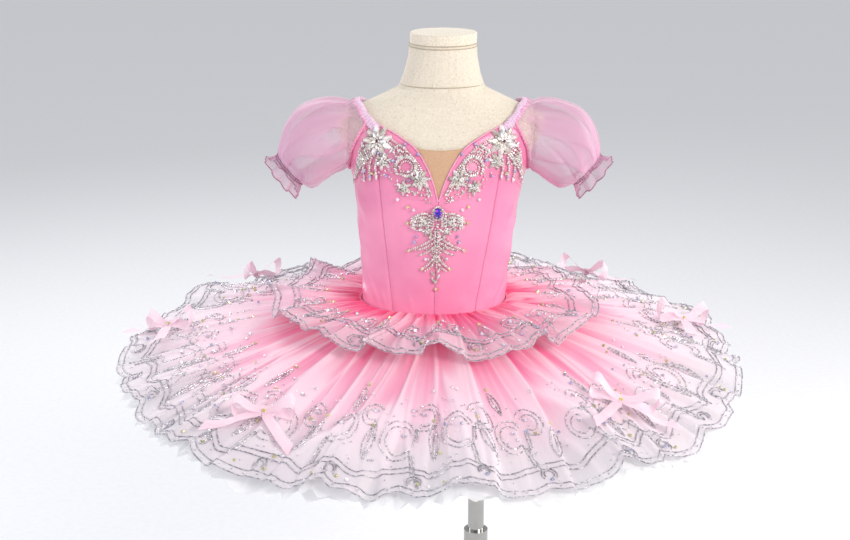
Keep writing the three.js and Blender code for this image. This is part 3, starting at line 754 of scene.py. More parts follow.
@dataclass
class Bodice:
    """Six satin panels, the nude insert, the piping and the closure at the back."""

    hem: float = -12.5
    gap: float = 0.3
    side_seam: float = math.radians(95)
    face_lift: float = 2.0
    thickness: float = 1.4
    seam_dip: float = 1.0
    seam_reach: float = 3.0
    piping_radius: float = 1.05
    width_allowance: float = 1.25  # a panel's cut, as a share of its finished width
    height_allowance: float = 1.05
    princess: Profile = profile((-5, 50), (150, 70.5), (221, 77))
    neckline: Profile = profile((132, 0), (158, 8), (178, 18), (195, 31), (208, 52), (219, 77))
    neck_rows: Profile = profile((0, 132), (0.2, 158), (0.4, 178), (0.6, 195), (0.8, 208), (1, 219))
    armhole: Profile = profile(
        (0, 219), (0.1, 215), (0.2, 206), (0.35, 190), (0.55, 172), (0.8, 160), (1, 156)
    )
    back_top: Profile = profile((0, 156), (0.3, 148), (1, 142))
    creases: tuple[tuple[float, ...], ...] = (
        # where the satin is drawn into a fold: degrees round the body, height, lean in degrees
        # from upright, half length, half width, height of the fold
        (58, 14, 32, 16, 4.5, 2.8), (-57, 15, -32, 17, 4.5, 2.8),
        (71, 9, 50, 13, 3.5, 2.2), (-73, 10, -50, 13, 3.5, 2.2),
        (47, 5, 20, 9, 3.5, 1.2), (-44, 5, -18, 9, 3.5, 1.2),
        (78, 60, -14, 32, 7, 1.7), (-76, 72, 12, 36, 7, 1.7),
        (64, 108, 38, 22, 6, 1.3), (-66, 116, -42, 20, 6, 1.3),
        (22, 3, 8, 8, 3.5, 0.9), (-19, 4, -10, 8, 3.5, 0.9),
        (112, 12, -40, 15, 5, 1.4), (-114, 11, 42, 15, 5, 1.4),
        (140, 30, -24, 20, 6, 1.0), (-138, 34, 26, 20, 6, 1.0),
    )

    def drawn_up(self, angle: np.ndarray, z: np.ndarray) -> np.ndarray:
        """The height of the creases at points of the satin."""
        total = np.zeros(np.broadcast(angle, z).shape)
        for degrees, height, lean, long, wide, high in self.creases:
            x = (angle - math.radians(degrees)) * Body.WIDTH(z)
            lean = math.radians(lean)
            along = (z - height) * math.cos(lean) + x * math.sin(lean)
            across = x * math.cos(lean) - (z - height) * math.sin(lean)
            total += high * np.exp(-((along / long) ** 2) - (across / wide) ** 2)
        return total

    def lift(self, angle: np.ndarray, z: np.ndarray, from_seam: np.ndarray) -> np.ndarray:
        """How far the satin's face is from the body: dipped and puckered at the seams, drawn at the waist."""
        dip = self.seam_dip * np.exp(-((from_seam / self.seam_reach) ** 2))
        pucker = 0.22 * np.sin(z * 0.8 + 3 * np.sin(z * 0.11)) * np.exp(-((from_seam / 9) ** 2))
        drawn = 0.9 * np.exp(-((z - 8) / 16) ** 2) * np.sin(angle * 9 + 0.05 * z) * np.abs(np.sin(angle))
        sides = soft_step(0.5, 1.2, np.abs(angle))
        drag = 0.5 * np.sin(z * 0.16 + 4 * angle) * sides * soft_step(190, 120, z)
        return self.face_lift - dip + pucker + drawn + drag + self.drawn_up(angle, z)

    def panel(self, name: str, place: Callable, node: str) -> None:
        """One satin panel.

        Args:
            name: the piece's name.
            place: gives the angle, the height and the distance to the nearest seam from u and v.
            node: the CAD node that it stands for.
        """

        def shape(u: np.ndarray, v: np.ndarray) -> np.ndarray:
            angle, z, from_seam = place(u, v)
            return Body.point(angle, z, self.lift(angle, z, from_seam))

        made = cloth(name, 60, 72, shape)
        thicken(made, self.thickness)
        Finishes.SATIN.dress(made)
        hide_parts(node)

    def centre_front(self, side: int) -> Callable:
        """Places half of the centre front."""

        def place(u: np.ndarray, v: np.ndarray) -> tuple:
            top = self.neck_rows(u)
            z = lerp(self.hem, top, v)
            share = np.minimum(self.neckline(top) / self.princess(top), 1)
            x = lerp(self.gap / 2, self.princess(z) - self.gap / 2, share)
            across = self.princess(z)
            return side * Body.front_angle(x, z), z, np.minimum(x + 30 * (z > 126), across - x)

        return place

    def side_front(self, side: int) -> Callable:
        """Places the panel from the princess seam to the side seam."""

        def place(u: np.ndarray, v: np.ndarray) -> tuple:
            z = lerp(self.hem, self.armhole(u), v)
            start = Body.front_angle(self.princess(z) + self.gap / 2, z)
            end = self.side_seam - self.gap / 2 / Body.WIDTH(z)
            width = (end - start) * Body.WIDTH(z)
            return side * lerp(start, end, u), z, np.minimum(u, 1 - u) * width

        return place

    def back(self, side: int) -> Callable:
        """Places the panel from the side seam to the centre back."""

        def place(u: np.ndarray, v: np.ndarray) -> tuple:
            z = lerp(self.hem, self.back_top(u), v)
            start = self.side_seam + self.gap / 2 / Body.WIDTH(z)
            end = math.pi - self.gap / 2 / Body.WIDTH(z)
            width = (end - start) * Body.WIDTH(z)
            return side * lerp(start, end, u), z, np.minimum(u, 1 - u) * width

        return place

    def insert(self) -> None:
        """The skin-coloured mesh in the V of the neckline."""

        def shape(u: np.ndarray, v: np.ndarray) -> np.ndarray:
            z = lerp(136.0, 194.0 - 2.5 * np.sin(math.pi * u), v)
            reach = self.neckline(z) - 0.8
            return Body.front(lerp(-reach, reach, u), z, 1.4 + 0.15 * np.sin(z * 0.5))

        made = cloth("nude_insert_mesh", 36, 36, shape)
        thicken(made, 0.8)
        Finishes.INSERT.dress(made)
        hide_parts("nude_insert")

    def piping(self, side: int, word: str) -> None:
        """The corded edge along the neckline and round the armhole."""
        z = np.linspace(133, 219, 60)
        edge = Body.front(side * self.neckline(z), z, 2.6)
        u = np.linspace(0.02, 1, 60)
        high = self.armhole(u)
        start = Body.front_angle(self.princess(high), high)
        arm = Body.point(side * lerp(start, self.side_seam, u), high, np.full(60, 2.0))
        w = np.linspace(0, 1, 50)
        around = side * lerp(self.side_seam, math.pi - 0.004, w)
        back = Body.point(around, self.back_top(w), np.full(50, 2.0))
        made = threads("neckline_cord_" + word, [np.concatenate((edge, arm, back))], self.piping_radius)
        Finishes.PIPING.dress(made)
        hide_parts("neckline_piping_" + word)

    def hooks(self) -> None:
        """A row of hooks and eyes down the centre back."""
        lines = []
        for z in np.arange(8, 138, 14.0):
            turn = np.linspace(0, TAU, 13)
            for side in (-1, 1):
                angle = math.pi + side * (3.2 + 1.6 * np.cos(turn)) / 80
                lines.append(Body.point(angle, z + 1.5 * np.sin(turn), np.full(13, 2.6)))
        made = threads("back_hooks", lines, 0.4)
        Finishes.CHROME.dress(made)

    def build(self) -> None:
        """Builds and dresses the bodice."""
        for side, word in ((1, "left"), (-1, "right")):
            self.panel(f"satin_centre_front_{word}", self.centre_front(side), f"bodice_centre_front_{word}")
            self.panel(f"satin_side_{word}", self.side_front(side), f"bodice_side_{word}")
            self.panel(f"satin_back_{word}", self.back(side), f"bodice_back_{word}")
            self.piping(side, word)
        self.insert()
        self.hooks()


# ---- Beaded lace -----------------------------------------------------------------------------


@dataclass
class LaceYoke:
    """The beaded silver lace on the bodice: a wing each side of the neckline and the pendant."""

    lift: float = 3.0
    seed: int = 11
    stones: list[Gem] = field(default_factory=list)
    beads: list[Gem] = field(default_factory=list)
    jewel_z: float = 120.0
    upper: Profile = profile(
        (5, 140), (14, 162), (25, 180), (39, 195), (56, 205), (77, 213), (92, 197), (100, 166)
    )
    lower: Profile = profile(
        (5, 128), (16, 133), (32, 135), (46, 141), (60, 158), (75, 160), (89, 150), (99, 134)
    )
    pendant_width: Profile = profile(
        (21, 2), (32, 5), (45, 7), (56, 14), (70, 12), (79, 27), (90, 16), (98, 22), (108, 33), (118, 20),
        (126, 8),
    )

    def set_gem(
        self, x: float, z: float, turn: float, length: float, width: float, cut: Cut, tint: int = 0,
        high: float = 0.0,
    ) -> None:
        """Sews one stone or bead on the front of the bodice.

        Args:
            x: its place across, in millimetres.
            z: its height above the waist.
            turn: which way its length lies, in radians from across.
            length: its length.
            width: its width.
            cut: its shape.
            tint: its colour's number.
            high: how much further out it sits.
        """
        at = Body.front(np.array([x]), np.array([z]), self.lift + high)[0]
        up = at - Body.front(np.array([x]), np.array([z]), 0.0)[0]
        step = np.array([math.cos(turn), math.sin(turn)]) * 0.5
        along = Body.front(np.array([x + step[0]]), np.array([z + step[1]]), self.lift + high)[0] - at
        height = {Cut.BEAD: width * 0.95, Cut.ROUND: width * 0.5, Cut.NAVETTE: width * 0.55}[cut]
        (self.beads if cut is Cut.BEAD else self.stones).append(
            Gem(at, up, along, length, width, height, cut, tint)
        )

    def flower(self, x: float, z: float, reach: float, petals: int, turn: float) -> None:
        """A flower of navette stones round a cluster of round ones."""
        for ring, (share, size) in enumerate(((0.62, 0.8), (0.34, 0.55))):
            for i in range(petals):
                a = turn + (i + 0.5 * ring) * TAU / petals
                long = reach * size
                self.set_gem(
                    x + math.cos(a) * reach * share, z + math.sin(a) * reach * share, a, long, long * 0.56,
                    Cut.NAVETTE, i % 6, 0.8 * ring,
                )
        for i in range(5):
            a = i * TAU / 5
            middle_x, middle_z = x + math.cos(a) * reach * 0.14, z + math.sin(a) * reach * 0.14
            self.set_gem(middle_x, middle_z, a, 2.8, 2.8, Cut.ROUND, i, 2.0)

    @staticmethod
    def spaced(points: Sequence[tuple[float, float]], step: float, least: int) -> tuple[np.ndarray, ...]:
        """The x and z of even places along a smooth curve through a few points."""
        x, z = np.array(points, float).T
        along = np.concatenate(([0], np.cumsum(np.hypot(np.diff(x), np.diff(z)))))
        fine = np.linspace(0, along[-1], max(least, int(along[-1] / step)))
        return Profile(list(zip(along, x)))(fine), Profile(list(zip(along, z)))(fine)

    def row(self, points: Sequence[tuple[float, float]], size: float = 2.7, tint: int = 0) -> None:
        """A row of beads along a curve through a few points."""
        for i, (at_x, at_z) in enumerate(zip(*self.spaced(points, size * 0.98, 2))):
            self.set_gem(float(at_x), float(at_z), 0.0, size, size, Cut.BEAD, tint + i)

    def rope(self, points: Sequence[tuple[float, float]], wide: float = 6.0, size: float = 2.5) -> None:
        """A rope: long beads sewn side by side across a curve, leaning along it."""
        x, z = self.spaced(points, size, 3)
        ways = np.arctan2(np.gradient(z), np.gradient(x))
        for i, (at_x, at_z, way) in enumerate(zip(x, z, ways)):
            narrow = wide * (0.75 + 0.25 * math.sin(math.pi * i / len(x)))
            self.set_gem(float(at_x), float(at_z), float(way) + 0.95, narrow, size * 1.05, Cut.BEAD, i, 0.3)

    def scroll(self, x: float, z: float, radius: float, start: float, turns: float) -> None:
        """A rolled scroll: a rope that winds in, with a row of beads inside it."""
        steps = 14
        for inner in (0.0, 5.0):
            curve = []
            for i in range(steps + 1):
                a = start + turns * TAU * i / steps
                r = (radius - inner) * (1 - 0.28 * i / steps)
                curve.append((x + r * math.cos(a), z + r * math.sin(a)))
            if inner:
                self.row(curve, 2.4)
            else:
                self.rope(curve, 0.5 * radius, 2.5)

    def wing(self, side: int, rng: random.Random) -> None:
        """Sews one wing's beadwork."""
        s = side
        self.flower(s * 74, 200, 19, 9, 0.3)
        self.flower(s * 66, 177, 11, 6, 0.7 * s)
        self.flower(s * 22, 158, 13, 7, 0.2)
        self.flower(s * 41, 148, 10, 6, 0.5)
        self.flower(s * 90, 178, 8, 5, 0.4)
        self.scroll(s * 38, 172, 13, math.pi / 2 - s * 2.2, s * 0.95)
        self.scroll(s * 47, 189, 8, math.pi / 2 + s * 1.5, -s * 0.8)
        for offset in (0.0, 3.0):  # rows beside the neckline
            edge = ((8, 141), (13, 152), (20, 168), (29, 181), (42, 193 - offset), (58, 203 - offset))
            self.row([(s * (x + offset), z) for x, z in edge], 2.6)
        for i in range(6):  # sprays that fan from the large flower to the armhole
            end_x, end_z = lerp(91, 99, (i / 5) ** 0.6), lerp(197, 147, i / 5)
            start_x, start_z = lerp(84, 80, i / 5), lerp(198, 184, i / 5)
            middle = (s * (lerp(start_x, end_x, 0.55) + 1.5), lerp(start_z, end_z, 0.5) + 1.5)
            self.rope([(s * start_x, start_z), middle, (s * end_x, end_z)], 4.4, 2.4)
            self.set_gem(s * end_x, end_z - 3, math.pi / 2, 7, 3.4, Cut.NAVETTE, i, 0.5)
        for i in range(3):  # sprays that hang under the small flower
            spray = ((72, 184 - 3 * i), (74, 172 - 2 * i), (73, 163 - 3 * i))
            self.rope([(s * (x + 7 * i), z) for x, z in spray], 3.8, 2.3)
            self.set_gem(s * (73 + 7 * i), 158 - 3 * i, math.pi / 2, 8, 3.8, Cut.NAVETTE, i, 0.3)
        for i in range(3):  # leaves between the flowers
            self.set_gem(s * (57 + 6 * i), 190 - 7 * i, 2.2 * s, 9, 3.8, Cut.NAVETTE, i, 0.3)
            self.set_gem(s * (28 + 7 * i), 143 + 3 * i, 0.9 * s, 7.5, 3.2, Cut.NAVETTE, i, 0.3)
        for _ in range(120):  # loose beads that fill the ground between them
            x = rng.uniform(8, 97)
            low, high = float(self.lower(x)), float(self.upper(x))
            z = rng.uniform(low, high - 4)
            if math.hypot(x - 38, z - 172) > 9:
                turn, long, wide = rng.uniform(0, 3), rng.uniform(2.0, 3.2), rng.uniform(1.8, 2.6)
                self.set_gem(s * x, z, turn, long, wide, Cut.BEAD, rng.randrange(6))
        for x, z, tint in (
            (47, 134, 1), (35, 157, 3), (36, 167, 1), (54, 179, 2), (71, 187, 3), (78, 162, 0), (61, 161, 3),
            (41, 198, 3), (25, 187, 2), (28, 123, 1), (88, 163, 2), (80, 158, 3), (35, 126, 0),
        ):
            self.set_gem(s * x, z, 0.4, 4.6, 4.6, Cut.ROUND, 6 + tint, 0.8)

    def pendant(self, rng: random.Random) -> None:
        """Sews the pendant below the V, with its oval jewel."""
        self.set_gem(0, self.jewel_z, math.pi / 2, 16, 12.5, Cut.ROUND, 4, 0.0)
        for i in range(20):  # the claws round the jewel
            a = i * TAU / 20
            high = self.jewel_z + 8.0 * math.sin(a)
            self.set_gem(6.2 * math.cos(a), high, 0.0, 2.4, 2.4, Cut.BEAD, i, 2.2)
        for s in (-1, 1):
            for i in range(4):  # the two leaf wings
                leaf = (
                    (5, 113 - 3 * i), (14 + 2 * i, 119 - 4.5 * i), (24 + 2 * i, 116 - 4.5 * i),
                    (31 - 2.5 * i, 107 - 3 * i),
                )
                self.rope([(s * x, z) for x, z in leaf], 4.6, 2.3)
            self.scroll(s * 24, 109, 7, math.pi / 2 - s * 1.0, s * 0.8)
            self.flower(s * 14, 108, 6, 6, 0.1)
            self.flower(s * 11, 97, 7.5, 5, 0.6)
            for top, out, drop in ((91, 31, 74), (85, 24, 74), (79, 20, 68), (66, 17, 50), (60, 12, 48)):
                middle = (s * out * 0.5, (top + drop) / 2 - 2)
                self.rope([(s * 1.5, top), middle, (s * out, drop - 1)], 4.0, 2.2)
            for x, z, tint in (
                (35, 106, 0), (20, 99, 1), (26, 83, 2), (32, 72, 0), (12, 62, 1), (16, 49, 0), (24, 90, 3),
            ):
                self.set_gem(s * x, z, 0.3, 4.6, 4.6, Cut.ROUND, 6 + tint, 0.6)
            for x, z in ((19, 103), (8, 90)):  # plain ring sequins
                self.set_gem(s * x, z, 0.3, 5.0, 5.0, Cut.ROUND, 1, 0.2)
        self.row([(0, 106), (1, 90), (0, 70), (1, 52)], 3.0, 1)
        self.row([(-2.4, 100), (-2.2, 80), (-2, 60)], 2.2, 2)
        self.row([(2.8, 100), (3, 80), (3, 60)], 2.2, 2)
        for i in range(4):  # the leaf drop
            self.set_gem((-1) ** i * 3.2, 47 - 4 * i, math.pi / 2 - (-1) ** i * 0.5, 8, 3.6, Cut.NAVETTE, i)
        self.set_gem(0, 33, 0, 5.5, 5.5, Cut.ROUND, 1)
        self.set_gem(1, 23, 0, 4.4, 4.4, Cut.ROUND, 6)
        for _ in range(120):
            z = rng.uniform(58, 120)
            x = rng.uniform(-1, 1) * float(self.pendant_width(z)) * 0.75
            self.set_gem(x, z, 0.0, 2.0, 2.0, Cut.BEAD, rng.randrange(6))

    def jewel(self) -> None:
        """The oval jewel at the V: a deep violet stone whose facets turn to blue and lilac."""
        sewn = len(self.stones)
        self.set_gem(0, self.jewel_z, math.pi / 2, 13.5, 10.0, Cut.ROUND, 0, 2.6)
        for i in range(8):
            a = (i + 0.5) * TAU / 8
            high = self.jewel_z + 3.6 * math.sin(a)
            self.set_gem(2.6 * math.cos(a), high, a, 4.4, 3.4, Cut.NAVETTE, 1 + i, 6.0)
        self.set_gem(0, self.jewel_z, math.pi / 2, 4.4, 3.2, Cut.ROUND, 2, 7.2)
        cut, self.stones = self.stones[sewn:], self.stones[:sewn]
        violet = (
            "#2a17a8", "#7a22e0", "#3a2be8", "#d23cf0", "#2440e8", "#9a22c8", "#cdbcff", "#2c1fa8", "#b03af0",
        )
        made = gems("yoke_jewel", cut, violet, 9)
        Finishes.JEWEL.dress(made)

    @staticmethod
    def net(name: str, columns: int, node: str, shape: Surface, flat: tuple[float, float]) -> None:
        """The fine net that carries the beads."""
        made = cloth(name, columns, 16, shape)
        thicken(made, 0.4)
        Finishes.LACE_NET.dress(made)
        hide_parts(node)

    def build(self) -> None:
        """Builds and dresses the lace."""
        rng = random.Random(self.seed)
        for side, word in ((1, "left"), (-1, "right")):

            def wing(u: np.ndarray, v: np.ndarray, side: int = side) -> np.ndarray:
                x = lerp(6.0, 99.0, u)
                return Body.front(side * x, lerp(self.lower(x), self.upper(x), v), self.lift - 0.2)

            self.net("lace_ground_" + word, 60, "lace_wing_" + word, wing, (120, 75))
            self.wing(side, rng)

        def hanging(u: np.ndarray, v: np.ndarray) -> np.ndarray:
            z = lerp(21.0, 126.0, v)
            reach = self.pendant_width(z)
            return Body.front(lerp(-reach, reach, u), z, self.lift - 0.2)

        self.net("lace_ground_pendant", 24, "lace_pendant", hanging, (66, 106))
        self.pendant(rng)
        silver = ("#f4efeb", "#e0d8d0", "#ffffff", "#cbc2ba", "#ebe4dc", "#f7f2ec")
        aurora = ("#e9e2b0", "#f6f3f9", "#bcc6f0", "#cdb8ea")
        stones = gems("yoke_stones", self.stones, silver + aurora, 3)
        beads = gems("yoke_beads", self.beads, silver, 4)
        self.jewel()
        Finishes.STONES.dress(stones)
        Finishes.BEADS.dress(beads)


# ---- Straps and sleeves ----------------------------------------------------------------------


@dataclass
class Straps:
    """Elastic straps in ruched covers, over the shoulder from the bodice's front to its back."""

    width: float = 12.5
    thickness: float = 3.6
    lift: float = 3.4
    ruche: float = 4.0  # millimetres from one ruche to the next
    route: tuple[tuple[float, float], ...] = (
        (35.5, 212), (42, 222.5), (51, 229), (65, 234.5), (90, 236.5), (115, 234), (130, 228), (138, 218),
        (143, 200), (147, 180), (150, 164), (151, 152),
    )

    def build_one(self, side: int, word: str) -> None:
        """One strap."""
        angle, height = np.array(self.route).T
        rough = Body.point(np.radians(angle), height, self.lift)
        along = np.concatenate(([0], np.cumsum(np.linalg.norm(np.diff(rough, axis=0), axis=1))))
        at_angle, at_height = Profile(list(zip(along, angle))), Profile(list(zip(along, height)))
        length = along[-1]

        def shape(u: np.ndarray, v: np.ndarray) -> np.ndarray:
            s = v * length
            a, z = np.radians(at_angle(s)), at_height(s)
            out = Body.point(a, z, self.lift) - Body.point(a, z, self.lift - 1)
            step = 1.5
            ahead = Body.point(np.radians(at_angle(s + step)), at_height(s + step), self.lift)
            behind = Body.point(np.radians(at_angle(s - step)), at_height(s - step), self.lift)
            tangent = ahead - behind
            tangent /= np.linalg.norm(tangent, axis=1)[:, None] + 1e-9
            across = np.cross(tangent, out)
            across /= np.linalg.norm(across, axis=1)[:, None] + 1e-9
            turn = u * TAU
            ripple = 0.8 * np.sin(s * TAU / self.ruche + 0.35 * np.sin(turn * 2 + s * 0.13))
            wide = self.width / 2 - 0.8 + ripple
            channels = 0.35 * np.cos(3 * turn)
            flat = np.sign(np.sin(turn)) * np.abs(np.sin(turn)) ** 0.7
            p = Body.point(a, z, self.lift) + across * (wide * np.cos(turn))[:, None]
            p = p + out * ((self.thickness / 2 + ripple + channels) * flat)[:, None]
            return p * np.array([side, 1, 1])

        made = cloth("ruched_strap_" + word, 18, 680, shape, ring=True, ends=True)
        Finishes.ELASTIC.dress(made)
        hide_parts("strap_" + word)

    def build(self) -> None:
        """Both straps."""
        self.build_one(1, "left")
        self.build_one(-1, "right")


@dataclass
class Sleeves:
    """Off-the-shoulder puffs of organza, gathered at the armhole and the cuff, with a rolled frill."""

    rings: tuple[tuple[float, ...], ...] = (
        # x, z, tilt in degrees, half height, half depth, gather, from the armhole outwards
        (84, 199, -4, 33, 36, 0.8), (108, 199, 0, 38, 39, 1.0), (118, 198, 3, 43, 45, 1.2),
        (138, 193, 7, 48, 51, 1.0),
        (157, 185, 13, 50, 53, 0.5), (171, 174, 22, 43, 48, 1.0), (179, 162, 32, 31, 34, 1.5),
        (182.5, 155.5, 43, 23, 23, 0.8), (188, 149.5, 42, 27, 27, 1.8), (193, 144.5, 40, 31, 31, 2.6),
    )
    layings: tuple[tuple[float, ...], ...] = (
        # where the puff lies double on itself: radians round it at the armhole, turn to each
        # ring, first ring, last ring, width in radians, and how strongly it shows
        (-0.30, -0.10, -0.9, 6.0, 0.50, 0.8), (-0.95, -0.17, -0.5, 4.4, 0.32, 0.7),
        (-1.35, 0.05, 0.6, 6.0, 0.38, 0.9), (-1.95, 0.02, -0.9, 3.6, 0.28, 0.6),
        (-2.10, 0.11, 1.4, 6.0, 0.40, 0.9), (-2.75, 0.05, -0.6, 5.6, 0.45, 0.8),
        (0.55, 0.12, -0.9, 5.2, 0.42, 0.8), (1.30, -0.06, 0.2, 6.0, 0.36, 0.8),
        (2.00, 0.07, -0.8, 4.6, 0.40, 0.7), (2.65, -0.08, 0.8, 6.0, 0.36, 0.8),
    )
    cuff_ring: float = 6.0  # the ring at the elastic
    armhole_ring: float = -1.0  # the seam on the bodice and the strap
    armhole_lift: float = 4.2
    hem_radius: float = 0.75
    armhole_z: tuple[float, float] = (156.0, 237.0)
    # height and degrees round the body, down the front and the back of the armhole
    front_seam: Profile = profile(
        (156, 95), (160, 84), (172, 71), (190, 58), (206, 48), (219, 43), (226, 49), (232, 60), (237, 88)
    )
    back_seam: Profile = profile(
        (156, 95), (162, 104), (175, 118), (195, 128), (212, 131), (224, 127), (232, 116), (237, 92)
    )

    def armhole(self, side: int, turn: np.ndarray) -> np.ndarray:
        """The seam where the sleeve is set on the bodice's edge and the strap."""
        low, high = self.armhole_z
        z = lerp(low, high, (1 + np.cos(turn)) / 2)
        degrees = np.where(np.sin(turn) < 0, self.front_seam(z), self.back_seam(z))
        return Body.point(side * np.radians(degrees), z, self.armhole_lift)

    def laid(self, side: int, turn: np.ndarray, ring: np.ndarray) -> np.ndarray:
        """How far the organza lies double: a crisp edge that fades across each fold."""
        total = np.zeros(np.broadcast(turn, ring).shape)
        for start, drift, first, last, width, share in self.layings:
            middle = start * (1 + 0.07 * side) + drift * ring + 0.05 * np.sin(1.7 * ring + start * 5 + side)
            off = (turn - middle + math.pi) % TAU - math.pi
            runs = soft_step(first, first + 0.8, ring) * soft_step(last, last - 1.0, ring)
            total += share * runs * soft_step(-0.02, 0.03, off) * np.exp(-np.maximum(off, 0) / width)
        return total

    def point(self, side: int, turn: np.ndarray, ring: np.ndarray, out: float = 0.0) -> np.ndarray:
        """Points on a sleeve.

        Args:
            side: 1 for the wearer's left, -1 for the right.
            turn: radians round the sleeve, from its top.
            ring: how far along it, in rings.
            out: how far outside the cloth.

        Returns:
            Body points.
        """
        places = np.arange(len(self.rings)) + self.armhole_ring
        x, z, tilt, high, deep, gather = [Profile(list(zip(places, c)))(ring) for c in zip(*self.rings)]
        tilt = np.radians(tilt)
        ruched = np.exp(-(((ring - self.cuff_ring) / 0.5) ** 2))
        ruched = ruched + 0.7 * np.exp(-(((ring + 0.2) / 0.5) ** 2))
        fine = np.sin(turn * 34 + 2.0 * np.sin(turn * 3 + side)) * ruched * 0.8
        broad = np.sin(turn * 11 + 1.5 * np.sin(turn * 2) + 0.4 * ring) * gather * 0.9
        frill = 2.4 * np.sin(turn * 9 + 0.8 * np.sin(turn * 4)) * soft_step(self.cuff_ring, 8, ring)
        sag = 1.6 * np.sin(turn * 3 + ring * 1.1 + side) * soft_step(0, 2, ring) * soft_step(6, 4.5, ring)
        crease = -1.6 * np.exp(-((np.sin(turn * 2.5 + ring * 0.55) / 0.16) ** 2)) * soft_step(0.5, 2, ring)
        swell = fine + broad + frill + sag + crease * soft_step(5.8, 4.0, ring) + out
        swell = swell + 1.8 * np.minimum(self.laid(side, turn, ring), 1.2) * soft_step(-0.6, 0.6, ring)
        up = (high + swell) * np.cos(turn)
        puff = stack(side * (x + up * np.sin(tilt)), (deep + swell) * np.sin(turn), z + up * np.cos(tilt))
        near = soft_step(0.35, self.armhole_ring, ring)[:, None]
        seam = self.armhole(side, turn)
        away = (puff - np.array([side * 60.0, 0.0, 196.0])) * 0.1 * np.sin(math.pi * near)
        return lerp(puff, seam, near) + away

    def ring_line(self, side: int, ring: float, out: float) -> np.ndarray:
        """A closed line round the sleeve."""
        turn = np.linspace(0, TAU, 241)
        return self.point(side, turn, np.full(241, ring), out)

    def build(self) -> None:
        """Both sleeves with their seams and hems."""
        last = len(self.rings) - 1.0 + self.armhole_ring
        for side, word in ((1, "left"), (-1, "right")):
            middle = Vector(world(np.array([side * 150.0, 0.0, 185.0]))[0])
            made = cloth(
                "organza_sleeve_" + word, 220, 90,
                lambda u, v, side=side: self.point(side, u * TAU, lerp(self.armhole_ring, last, v)), middle,
                ring=True,
                doubled=lambda u, v, side=side: self.laid(side, u * TAU, lerp(self.armhole_ring, last, v)),
            )
            hem = threads("sleeve_hem_" + word, [self.ring_line(side, last, 0.0)], self.hem_radius)
            elastic = [self.ring_line(side, self.cuff_ring + off, 0.3) for off in (-0.1, 0.25)]
            seams = threads("sleeve_gathers_" + word, elastic, 0.5)
            turn = np.linspace(0, TAU, 481)
            ruffled = self.armhole(side, turn) * (1 + 0.004 * np.sin(turn * 62))[:, None]
            band = threads("sleeve_armhole_" + word, [ruffled], 1.5)
            Finishes.ORGANZA.dress(made)
            Finishes.HEM.dress(hem, seams)
            Finishes.PIPING.dress(band)
            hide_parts("sleeve_" + word)


# ---- Skirt -----------------------------------------------------------------------------------


class Edge(Enum):
    """How a layer of the skirt is cut along its edge."""

    SCALLOPED = "scalloped"
    DAGGED = "dagged"


